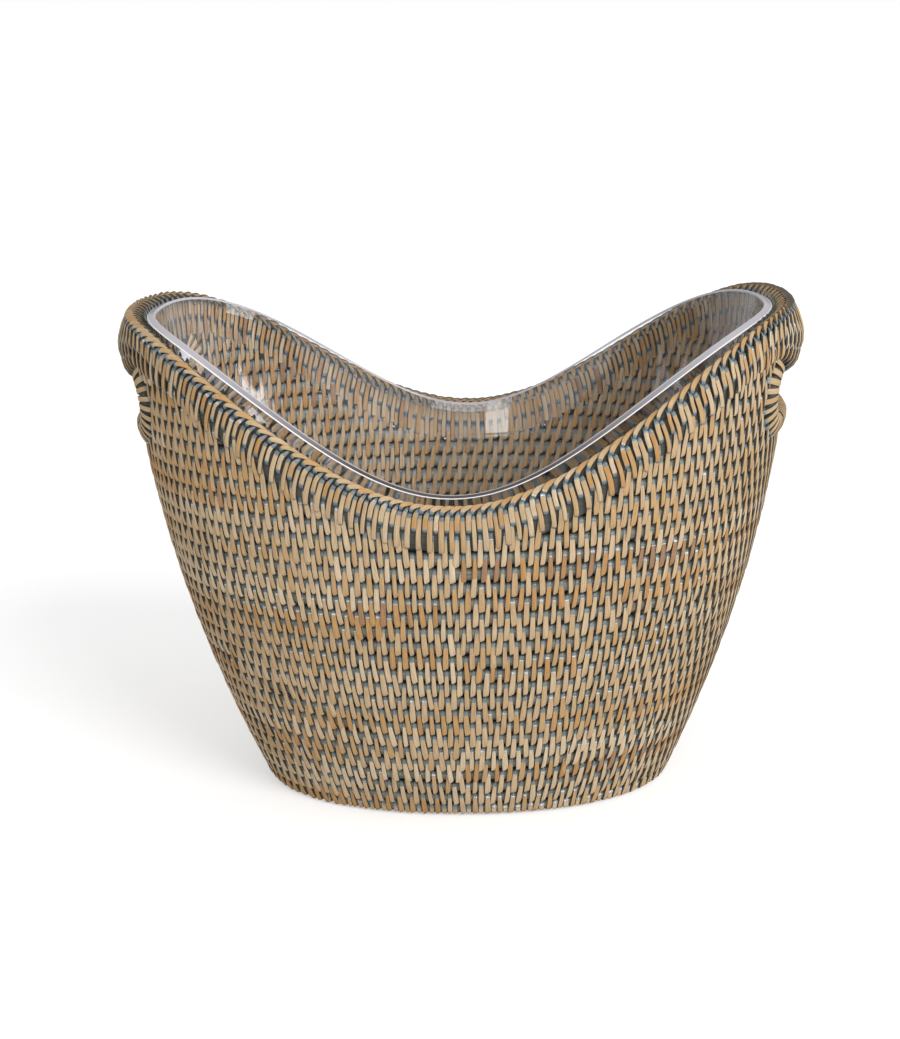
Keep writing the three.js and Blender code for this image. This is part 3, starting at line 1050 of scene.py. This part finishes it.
def cornerPanels():
    for side, xSign in (("right", 1), ("left", -1)):
        for face, ySign in (("front", -1), ("back", 1)):
            cornerPanel(f"{face}_{side}", xSign, ySign)


fullCourses()
endCourses()
cornerPanels()
print("courses lashed")


# Border: two bands and two thick grips, wrapped with long and short strips that hang from the braid

border = {
    "pitch": 0.00535,
    "lean": 1.05,
    "bow": 0.42,
    "topLean": 0.0016,
    "topLeanFrom": 1.1,
    "topLeanFull": 1.8,
    "uneven": 0.06,
    "jitter": 0.0002,
    "paintSpread": 0.15,
    "runs": (0.25, 0.85),
    "endSpread": 0.30,
    "spreadFrom": 0.12,
    "spreadFull": 0.62,
    "slopeTrim": {"long": -0.144, "short": 0.23},
    "fullSlope": 0.6,
    "trimFrom": 0.95,
    "coreDrop": 0.0007,
    "coreEndGap": 0.001,
    # shares of the height on the core's outer face, then on its inner face with the depths in millimetres
    "coreShares": [0, 0.03, 0.06, 0.12, 0.22, 0.34, 0.46, 0.58, 0.70, 0.82, 0.92, 0.99],
    "coreInnerShares": [0.99, 0.75, 0.5, 0.25, 0.08, 0],
    "coreInnerDepths": [7.8, 7.8, 7.8, 7.8, 7.4, 6],
    "bandTurns": 72,
    "gripTurns": 40,
    "patchTurns": 12,
    "thickness": 0.0011,
    "crown": 0.0008,
    "innerCrown": 0.0004,
    "innerLevels": (-0.4, 0.6),
    # share of the height, height over the face in millimetres, paint (from 1.2 up also painted shade where
    # the strip goes into the wall), girth
    "longStrip": [
        (1.32, -1.4, 2.0, 0.8), (1.25, -0.4, 1.6, 0.95), (1.15, 0.4, 1.0, 1.0), (1.02, 0.65, 0.75, 1.0),
        (0.92, 0.7, 0.0, 1.0), (0.65, 0.9, 0.0, 1.0), (0.42, 1.1, 0.0, 1.0), (0.20, 1.3, 0.0, 1.0),
        (0.08, 1.4, 0.10, 1.0), (0.02, 1.15, 0.8, 0.97), (-0.02, -1.2, 2.0, 0.85),
    ],
    "shortStrip": [
        (1.74, -1.2, 2.0, 0.40), (1.66, -0.2, 1.2, 0.50), (1.54, 0.5, 1.0, 0.75), (1.38, 1.0, 0.75, 0.95),
        (1.26, 1.3, 0.0, 1.0), (0.95, 1.4, 0.0, 1.0), (0.75, 1.3, 0.1, 1.0), (0.69, 1.1, 0.85, 1.0),
        (0.63, 0.5, 1.0, 0.95), (0.60, -0.8, 2.0, 0.8),
    ],
    # on the grips the strips are leaves in three staggered rows: the short strips and these two
    "leafStrip": [
        (1.12, -1.4, 2.0, 0.55), (1.02, -0.4, 1.3, 0.75), (0.92, 0.4, 0.95, 0.9), (0.80, 0.9, 0.4, 1.0),
        (0.64, 1.2, 0.0, 1.05), (0.48, 1.2, 0.0, 1.0), (0.37, 0.9, 0.1, 0.85), (0.30, 0.3, 0.7, 0.65),
        (0.26, -1.2, 2.0, 0.45),
    ],
    "footStrip": [
        (0.56, -1.4, 2.0, 0.55), (0.49, -0.4, 1.3, 0.75), (0.41, 0.4, 0.9, 0.9), (0.31, 0.8, 0.2, 1.0),
        (0.18, 0.9, 0.0, 1.05), (0.07, 0.7, 0.1, 0.9), (0.01, 0.2, 0.8, 0.75), (-0.03, -1.2, 2.0, 0.55),
    ],
    "underStrip": [
        (0.70, -1.6, 2.0, 0.9), (0.52, -1.2, 1.4, 0.95), (0.42, -1.0, 0.4, 1.0), (0.30, -0.8, 0.3, 1.0),
        (0.12, -0.7, 0.4, 1.0), (0.03, -0.9, 0.9, 0.9), (-0.05, -1.8, 2.0, 0.8),
    ],
    "longWidth": 0.00265,
    "shortWidth": 0.0026,
    "underWidth": 0.0025,
    "leafWidth": 0.0025,
    "footWidth": 0.0025,
    "leafSwell": 0.06,
    "gripGirth": 1.02,
    "gripInnerLength": 0.87,
}


def coreRings(angles, sizes):  # of the border or the braid
    shares = np.array(sizes["coreShares"])
    innerDepths = np.array(sizes["coreInnerDepths"]) * millimetre + np.zeros((len(angles), 1))
    depths = np.concatenate([border["coreDrop"] - borderFace(angles[:, None], shares), innerDepths], 1)
    heights = borderHeight(angles[:, None], np.append(shares, sizes["coreInnerShares"]))
    return wallPoint(angles[:, None], heights, depths)


def crestSpread(angles):  # the strips lie further apart towards the ends
    steps = [border["spreadFrom"], border["spreadFull"]]
    return 1 + np.interp(np.abs(np.cos(angles)), steps, [0, border["endSpread"]])


crestFromAbove = wallPoint(denseAngles, rimHeight(denseAngles), 0)[:, :2]
crestSteps = np.diff(arcLengths(crestFromAbove))
crestArc = np.append(0, np.cumsum(crestSteps / crestSpread(denseAngles[1:])))
crestCount = 2 * round(crestArc[-1] / border["pitch"] / 2)
crestPitch = crestArc[-1] / crestCount


def crestAngles(offset):  # places one pitch apart along the crest
    return np.interp((np.arange(crestCount) + offset) * crestPitch, crestArc, denseAngles)


def borderSet(angles, profile, inside=False):
    share, level, paint, girth = np.array(border[profile + "Strip"]).T
    count = len(angles)
    slope = rimSlope(angles)[:, None]
    trim = border["slopeTrim"].get(profile, 0) * np.clip(np.abs(slope) / border["fullSlope"], 0, 1)
    length = 1 + trim + jitter(count, border["uneven"])
    if inside:  # the ends stay above a grip's lower edge
        length = length * mix(1, border["gripInnerLength"], gripSwell(angles))[:, None]
    trimFrom = border["trimFrom"]
    share = np.where(share < trimFrom, trimFrom - (trimFrom - share) * length, share)
    onBand = mix(rim["bandWidth"], rim["braidWidth"], share)
    down = np.where(share <= 1, onBand, rim["braidWidth"] * (2 - share))
    bowed = down * (border["lean"] - border["bow"] * down / rim["bandWidth"])
    ahead = bowed * slope / np.hypot(1, slope) + jitter(count, border["jitter"])
    if profile == "short":
        ahead = ahead + np.interp(
            share, [border["topLeanFrom"], border["topLeanFull"]], [0, border["topLean"]])
    places = shifted(angles[:, None], rimHeight(angles)[:, None], ahead)
    heights = borderHeight(places, share)
    outward = wallNormal(places, heights)
    if inside:
        depth = wall["thickness"] + np.clip(level * 0.5, *border["innerLevels"]) * millimetre
    else:
        depth = -borderFace(places, share) - level * millimetre
    return {
        "points": wallPoint(places, heights, depth),
        "outward": -outward if inside else outward,
        "paint": patchy(paint, border["paintSpread"], count),
        "girth": girth * mix(1, border["gripGirth"], gripSwell(angles))[:, None],
        "run": chance.uniform(*border["runs"], count),
        "width": border[profile + "Width"],
        "thickness": border["thickness"],
        "crown": border["innerCrown"] if inside else border["crown"],
        "material": shadedInnerPeel if inside or profile == "under" else peel,
        "seed": 21,
    }


def borders():
    long, short = crestAngles(0), crestAngles(0.5)
    stretches = {
        "rim_band_front": (-math.pi + gripAngle, -gripAngle),
        "grip_right": (-gripAngle, gripAngle),
        "rim_band_back": (gripAngle, math.pi - gripAngle),
        "grip_left": (math.pi - gripAngle, math.pi + gripAngle),
    }
    for node, (start, stop) in stretches.items():
        turns = border["bandTurns"] if "band" in node else border["gripTurns"]
        angles = np.linspace(start + border["coreEndGap"], stop - border["coreEndGap"], turns)
        core = loft(coreRings(angles, border), False, border["patchTurns"])
        sets = []
        for places, profile, leaf in ((long, "long", "leaf"), (short, "short", "foot")):
            turn = (places - start) % (2 * math.pi)
            within = places[turn < stop - start]
            thick = gripSwell(within) > border["leafSwell"]
            sets.append(borderSet(within[~thick] if profile == "long" else within, profile))
            sets.append(borderSet(within[thick], leaf))
            sets.append(borderSet(within, profile, True))
        sets.append(borderSet(within, "under", True))  # below the short strips
        name = node.replace("rim_band", "wrapped_band").replace("grip", "wrapped_grip")
        makePiece(name, [(core, shadedCane if "grip" in node else dimCane)], sets, node)


borders()
print("border wrapped:", crestCount, "pairs of strips")


# Braid along the crest

braid = {
    "turns": 320,
    "patchTurns": 16,
    "coreShares": [1.01, 1.1, 1.25, 1.4, 1.55, 1.65, 1.72, 1.78, 1.82],
    "coreInnerShares": [1.80, 1.70, 1.5, 1.25, 1.01],
    "coreInnerDepths": [3.4, 4.8, 6.6, 8.0, 8.6],
    "petalWidth": 0.0026,
    "petalThickness": 0.0018,
    "petalCrown": 0.0006,
    "petalRuns": (0.2, 0.6),
    "petalFoot": 1.4,  # share of the border's height where the petals start
    # share of the pitch, depth into the wall and rise over the crest in millimetres, tilt out, girth, paint
    # (from 1.2 up also painted shade where the strip goes into the wall)
    "petal": [
        (-0.50, 1.6, -4.6, 1.0, 0.70, 2.0), (-0.50, -0.5, -4.2, 1.0, 0.80, 1.3),
        (-0.49, -1.0, -3.3, 1.0, 0.86, 1.0), (-0.46, -0.9, -2.5, 0.95, 0.9, 0.75),
        (-0.38, -0.3, -1.7, 0.85, 1.0, 0.1), (-0.20, 0.5, -1.1, 0.75, 1.03, 0.0),
        (0.06, 1.2, -0.7, 0.65, 0.96, 0.0), (0.36, 1.8, -0.5, 0.5, 0.80, 0.0),
        (0.68, 2.2, -0.6, 0.4, 0.60, 0.0), (0.98, 2.4, -1.2, 0.3, 0.45, 0.1),
    ],
    # short strips over the inner shoulder: depth and rise in millimetres, tilt outwards, paint
    "shoulder": [
        (1.8, -1.6, 0, 0.6), (3.8, -1.2, -0.2, 0), (5.8, -2.4, -0.6, 0),
        (7.6, -4.4, -1, 0), (8.9, -6.2, -1, 0.2), (8.4, -7.2, -1, 0.9),
    ],
    "shoulderWidth": 0.0030,
    "shoulderLean": 0.0024,
}


def crestSet(angles, ahead, depth, rise, tilt, width, paint, material, **sizes):
    # strips placed by their distance along the crest, depth into the wall and rise over the crest
    places = shifted(angles[:, None], rimHeight(angles)[:, None], ahead)
    heights = rimHeight(places) + rise
    points = wallPoint(places, heights, depth)
    outward = wallNormal(places, heights)
    slope = rimSlope(places)[..., None]
    level = unit(alongWall(places, heights))
    upright = unit(np.array([0, 0, 1]) - level * slope)
    return {
        "points": points,
        "outward": unit(mix(upright, outward, tilt[:, None])),
        "paint": paint,
        "width": width,
        "material": material,
        **sizes,
    }


def braidPiece():
    angles = fullTurn(braid["turns"])
    core = loft(coreRings(angles, braid), True, braid["patchTurns"])
    share, depth, rise, tilt, girth, paint = np.array(braid["petal"]).T
    swell = borderFace(crestAngles(0), braid["petalFoot"])[:, None] * (depth < 1)
    ahead = share * crestPitch * crestSpread(crestAngles(0.5))[:, None]
    petals = crestSet(
        crestAngles(0.5), ahead, depth * millimetre - swell, rise * millimetre, tilt, braid["petalWidth"],
        paint, peel, thickness=braid["petalThickness"], crown=braid["petalCrown"], seed=31,
        run=chance.uniform(*braid["petalRuns"], crestCount), girth=girth)
    depth, rise, tilt, paint = np.array(braid["shoulder"]).T
    ahead = np.linspace(braid["shoulderLean"], -braid["shoulderLean"], len(depth))
    shoulder = crestSet(
        crestAngles(0.1), ahead, depth * millimetre, rise * millimetre, tilt, braid["shoulderWidth"],
        paint, shadedInnerPeel, seed=35)
    makePiece("crest_braid", [(core, shadedCane)], [petals, shoulder], "rim_braid")


braidPiece()
print("braid plaited")


# Bindings: a lip round the sill and ends of each hand hole, wrapped with strips that fan out at the ends

binding = {
    "sillPitch": 0.0042,
    "fanStrips": 11,
    "climb": 48,  # degrees that each fan climbs past the hole's end
    "width": 0.0031,
    "paintSpread": 0.1,
    "patchSteps": 16,
    # distance into the wall from the hole's edge and height over the wall's face, in millimetres
    "lipSection": [
        (8.5, 0.2), (7.5, 1.5), (5, 2.3), (2.6, 2.0), (0.8, 0.8), (-0.2, -2), (-0.4, -4.5), (-0.2, -7),
        (1.0, -8.4), (3.5, -9), (8.5, -9),
    ],
    # the same for a strip, then paint (from 1.2 up also painted shade), and its facing: 1 out of the wall, 0
    # into the hole, -1 inwards
    "wrap": [
        (13.2, -0.8, 1.0, 1), (12.0, 0.9, 0.4, 1), (9.0, 2.3, 0.0, 1), (5.4, 3.0, 0.0, 0.9),
        (2.2, 2.7, 0.0, 0.6), (-0.2, 0.9, 0.0, 0.2), (-1.1, -2.2, 0.0, 0), (-1.2, -5.4, 0.0, 0),
        (-0.4, -8.2, 0.1, -0.2), (2.6, -9.7, 0.0, -0.8), (6.5, -9.8, 0.0, -1), (10.5, -9.7, 0.3, -1),
        (13.2, -8.4, 1.2, -1),
    ],
}


def holeEdge():
    # y and height along the edge from one fan round the sill to the other, the way out, and where strips lie
    radius = (holeTop - holeSill) / 2
    straight = hole["length"] / 2 - radius
    turns = np.linspace(math.radians(binding["climb"]), -math.pi / 2, 2 * binding["fanStrips"])
    endY = straight + radius * np.cos(turns)
    endZ = collarMiddle + radius * np.sin(turns)
    steps = round(2 * straight / binding["sillPitch"])
    sillY = np.linspace(straight, -straight, steps + 1)[1:-1]
    everyOther = np.arange(len(turns)) % 2 == 0
    y = np.concatenate([endY, sillY, -endY[::-1]])
    z = np.concatenate([endZ, np.full(len(sillY), holeSill), endZ[::-1]])
    outY = np.concatenate([np.cos(turns), 0 * sillY, -np.cos(turns[::-1])])
    outZ = np.concatenate([np.sin(turns), 0 * sillY - 1, np.sin(turns[::-1])])
    keep = np.concatenate([everyOther, sillY == sillY, everyOther[::-1]])
    return y[:, None], z[:, None], outY[:, None], outZ[:, None], keep


def onEnd(y, z, proud, side):  # a place on an end wall, and the wall's normal there
    share = np.clip(np.abs(y) / wallHalfWidth(z), 0, 1)
    angle = np.arcsin(share ** (wall["outlineExponent"] / 2)) * np.sign(y)
    angle = angle if side > 0 else math.pi - angle
    return wallPoint(angle, z, -proud), wallNormal(angle, z)


def bindings():
    y, z, outY, outZ, keep = holeEdge()
    for side, word in ((1, "right"), (-1, "left")):
        into, proud = np.array(binding["lipSection"]).T * millimetre
        lip, _ = onEnd(y + outY * into, z + outZ * into, proud, side)
        core = loft(lip[::-1] if side > 0 else lip, False, binding["patchSteps"])
        into, proud, paint, facing = np.array(binding["wrap"]).T
        into = into * millimetre
        stripY, stripZ = (y + outY * into)[keep], (z + outZ * into)[keep]
        points, normal = onEnd(stripY, stripZ, proud * millimetre, side)
        toHole = np.stack([0 * outY[keep], -outY[keep], -outZ[keep]], -1)
        outward = normal * facing[:, None] + toHole * (1 - np.abs(facing[:, None]))
        wraps = {
            "points": points,
            "outward": unit(outward),
            "paint": patchy(paint, binding["paintSpread"], len(points)),
            "width": binding["width"],
            "material": peel,
            "seed": 41,
        }
        makePiece(f"wrapped_binding_{word}", [(core, dimCane)], [wraps], f"handle_binding_{word}")


bindings()
print("hand holes bound")


# Base: one cane coiled flat, with stitches across its turns

base = {
    "pitch": 0.0089,
    "floor": 0.0012,
    "top": 0.0074,
    "wallGap": 0.0003,
    "turnGap": 0.0002,
    "openMiddle": 0.4,
    "stepsPerTurn": 96,
    "patchSteps": 24,
    # section of the cane: across and up, as shares of its half width and half height
    "section": [(-1, 0), (-0.75, 0.8), (0, 1), (0.75, 0.8), (1, 0), (0.75, -0.8), (0, -1), (-0.75, -0.8)],
    "stitchSpan": 0.95,
    "stitchThickness": 0.0008,
    "stitchLevels": (-1.2, 0.4),
}
baseEdge = wall["thickness"] + base["wallGap"] + base["pitch"] / 2


def coilPoint(angle, across, height):
    inset = baseEdge + base["pitch"] * angle / (2 * math.pi) + across
    return ovalPoint(wall["baseLength"] / 2 - inset, wall["baseWidth"] / 2 - inset, angle, height)


def basePiece():
    halfWidth = wall["baseWidth"] / 2 - baseEdge
    turnCount = (halfWidth - base["pitch"] * base["openMiddle"]) / base["pitch"]
    angles = np.linspace(0, turnCount * 2 * math.pi, round(turnCount * base["stepsPerTurn"]))
    across, lift = np.array(base["section"]).T
    heights = mix(base["floor"], base["top"], (lift + 1) / 2)
    rings = coilPoint(angles[:, None], across * (base["pitch"] - base["turnGap"]) / 2, heights)
    core = loft(rings, False, base["patchSteps"])
    arc = arcLengths(coilPoint(angles, 0, 0.0))
    stitches = np.arange(lashing["pitch"], arc[-1] - lashing["pitch"], lashing["pitch"])
    places = np.interp(stitches, arc, angles)
    places = places[places > 2 * math.pi, None]
    rise, level, paint, _ = np.array(lashing["profile"]).T
    inward = -rise * base["pitch"] * base["stitchSpan"] - base["pitch"] / 2
    spread = np.clip(level, *base["stitchLevels"]) * millimetre
    sets = []
    for way, face in ((1, base["top"]), (-1, base["floor"])):
        points = coilPoint(places, inward, face + way * spread)
        sets.append({
            "points": points,
            "outward": np.broadcast_to([0, 0, way], points.shape),
            "paint": paint,
            "width": lashing["width"],
            "thickness": base["stitchThickness"],
            "material": shadedInnerPeel,
            "seed": 51,
        })
    makePiece("coiled_base", [(core, cane)], sets, "base_coil")


basePiece()
print("base coiled")


# Clear liner

liner = {
    "wall": 0.005,
    "gap": 0.0012,
    "middleRise": 0.001,
    "endDrop": 0.0035,
    "slopeRise": 0.0022,
    "endFlare": 1.25,
    "sideFlare": 1.5,
    "floor": 0.0088,
    "outerCorner": 0.007,
    "innerCorner": 0.010,
    "rimRound": 0.0008,
    "rimTilt": 0.0005,
    "rimHaze": 0.0007,
    "turns": 240,
    "levels": 26,
    "cornerSteps": 7,
    "lipSteps": 4,
    "patchRings": 8,
}


def linerShare(height, flare):
    foot = flareShare(liner["floor"], flare)
    return (flareShare(height, flare) - foot) / (1 - foot)


def linerPoint(angle, height, depth):
    lengthShare = linerShare(height, liner["endFlare"])
    widthShare = linerShare(height, liner["sideFlare"])
    halfLength = mix(wallHalfLength(liner["floor"]), wall["topLength"] / 2, lengthShare)
    halfWidth = mix(wallHalfWidth(liner["floor"]), wall["topWidth"] / 2, widthShare)
    inset = wall["thickness"] + liner["gap"] + depth
    return ovalPoint(halfLength - inset, halfWidth - inset, angle, height)


def linerRim(angles):
    middle = wall["middleHeight"] + liner["middleRise"]
    end = wall["endHeight"] - liner["endDrop"]
    heights = saddleHeight(angles, middle, end)
    climbed = (heights - middle) / (end - middle)
    return heights + liner["slopeRise"] * 4 * climbed * (1 - climbed)


def linerSkin(angles, depth, floor, corner):  # rings from the floor's rounded corner up to the rim
    rings = []
    for turn in np.linspace(0, math.pi / 2, liner["cornerSteps"]):
        away = corner * (1 - math.sin(turn))
        height = floor + corner * (1 - math.cos(turn))
        rings.append(linerPoint(angles, height + 0 * angles, depth + away))
    top = linerRim(angles)
    for share in np.linspace(0, 1, liner["levels"])[1:]:
        heights = mix(floor + corner, top - liner["rimRound"], share)
        rings.append(linerPoint(angles, heights, depth))
    return rings


def linerPiece():
    angles = fullTurn(liner["turns"])
    top = linerRim(angles)
    inner = linerSkin(angles, liner["wall"], liner["floor"] + liner["wall"], liner["innerCorner"])
    outer = linerSkin(angles, 0, liner["floor"], liner["outerCorner"])
    roundOff = liner["rimRound"]
    lip = []
    for turn in np.linspace(0, math.pi / 2, liner["lipSteps"])[1:]:
        lip.append((roundOff * (1 - math.sin(turn)), roundOff * (1 - math.cos(turn))))
    tilt = liner["rimTilt"]  # the rim is cut square to the sloping wall
    over = [linerPoint(angles, top + tilt - drop, liner["wall"] - away) for drop, away in lip]
    over.append(linerPoint(angles, top + tilt * 0.5, liner["wall"] - roundOff - liner["rimHaze"]))
    over += [linerPoint(angles, top - tilt - drop, away) for drop, away in reversed(lip)]
    rings = np.stack(inner + over + outer[::-1])
    mesh = loft(rings, False, liner["patchRings"])
    for material in (acrylic, acrylicInnerEdgePaintedReflection, acrylicRimPaintedRefraction):
        mesh.materials.append(material)
    middleRing = len(inner) + len(lip)  # the middle of the rim has dark painted refraction, its two edges painted highlight and reflection
    for ring in range(len(inner) - 1, len(inner) + len(over)):
        for face in range(ring * liner["turns"], (ring + 1) * liner["turns"]):
            mesh.polygons[face].material_index = 2 + int(np.sign(ring - middleRing))
    makePiece("clear_tub", [(mesh, acrylicOuterEdgePaintedHighlight)], [], "clear_liner", body="liner")


linerPiece()
print("liner made")


# Floor, light and camera

studio = {
    "floorSize": 30.0,
    "floorTone": (0.70, 0.70, 0.70),
    "floorGlow": 0.44,
    "skyStrength": 0.60,
    "sunFrom": (0.52, -0.68, 0.53),
    "sunStrength": 1.73,
    "sunSpread": 28,
    # each lamp's place, target, width and height, and power in watts
    "lamps": {
        "frontLamp": ((0.2, -1.6, 1.3), (0, 0, 0.2), (0.9, 0.7), 1.2),
        "windowLamp": ((-0.205, -1.5, 0.19), (-0.1, 0.1, 0.19), (0.14, 0.34), 0.6),
        "transomLamp": ((-0.06, -1.5, 0.68), (-0.06, 0.1, 0.2), (0.43, 0.60), 3.2),
        "sideLamp": ((1.9, -0.3, 0.5), (-0.12, 0.08, 0.2), (0.6, 0.6), 6),
    },
}
white = (1, 1, 1, 1)


def seenDirectly(tree):  # by the camera, or by the camera through the clear liner
    path = addNode(tree, "ShaderNodeLightPath")
    unscattered = maths(tree, "LESS_THAN", path.outputs["Diffuse Depth"], 0.5)
    through = maths(tree, "MULTIPLY", path.outputs["Is Transmission Ray"], unscattered)
    return maths(tree, "MAXIMUM", path.outputs["Is Camera Ray"], through)


def makeFloor():
    half = studio["floorSize"] / 2
    corners = [(-half, -half, 0), (half, -half, 0), (half, half, 0), (-half, half, 0)]
    mesh = bpy.data.meshes.new("floor")
    mesh.from_pydata(corners, [], [(0, 1, 2, 3)])
    floor = addObject("floor", mesh)
    material, tree, shader = newMaterial("paleFloor")
    setInputs(tree, shader, {
        "Base Color": (*studio["floorTone"], 1),
        "Roughness": 0.9,
        "Emission Color": white,
        "Emission Strength": maths(tree, "MULTIPLY", seenDirectly(tree), studio["floorGlow"]),
    })
    mesh.materials.append(material)


def makeLight(name, kind, power, direction, place=(0, 0, 0)):
    data = bpy.data.lights.new(name, kind)
    data.energy = power
    light = addObject(name, data)
    light.location = place
    light.rotation_euler = direction.to_track_quat("-Z", "Y").to_euler()
    return data


def makeLights():
    sun = makeLight("sun", "SUN", studio["sunStrength"], -Vector(studio["sunFrom"]))
    sun.angle = math.radians(studio["sunSpread"])
    for name, (place, target, size, power) in studio["lamps"].items():
        lamp = makeLight(name, "AREA", power, Vector(target) - Vector(place), place)
        lamp.shape = "RECTANGLE"
        lamp.size, lamp.size_y = size


def makeSky():
    world = bpy.data.worlds.new("studio")
    world.use_nodes = True
    tree = world.node_tree
    sky = tree.nodes["Background"]
    setInputs(tree, sky, {"Color": white, "Strength": studio["skyStrength"]})
    backdrop = addNode(tree, "ShaderNodeBackground", {"Color": white, "Strength": 1.0})
    both = addNode(tree, "ShaderNodeMixShader", {
        0: seenDirectly(tree), 1: sky.outputs[0], 2: backdrop.outputs[0]})
    setInputs(tree, tree.nodes["World Output"], {"Surface": both.outputs[0]})
    bpy.context.scene.world = world


view = {
    "azimuth": 2.916,
    "elevation": 15.689,
    "distance": 1.2,
    "targetRight": -0.007824,
    "targetHeight": 0.152718,
    "roll": 1.324,
    "focalPixels": 2014.37,
    "imageHeight": 1039,
    "sensor": 36.0,
}


def makeCamera():
    data = bpy.data.cameras.new("camera")
    data.sensor_width = view["sensor"]
    data.lens = view["focalPixels"] / view["imageHeight"] * view["sensor"]
    azimuth, elevation, roll = [math.radians(view[word]) for word in ("azimuth", "elevation", "roll")]
    level = math.cos(elevation)
    back = Vector((math.sin(azimuth) * level, -math.cos(azimuth) * level, math.sin(elevation)))
    right = Vector((math.cos(azimuth), math.sin(azimuth), 0))
    up = back.cross(right)
    across = right * math.cos(roll) - up * math.sin(roll)
    upward = right * math.sin(roll) + up * math.cos(roll)
    target = right * view["targetRight"] + Vector((0, 0, view["targetHeight"]))
    turn = Matrix((across, upward, back)).transposed().to_4x4()
    camera = addObject("camera", data)
    camera.matrix_world = Matrix.Translation(target + back * view["distance"]) @ turn
    bpy.context.scene.camera = camera


makeFloor()
makeSky()
makeLights()
makeCamera()
bpy.context.scene.view_settings.view_transform = "Standard"
print("studio set")
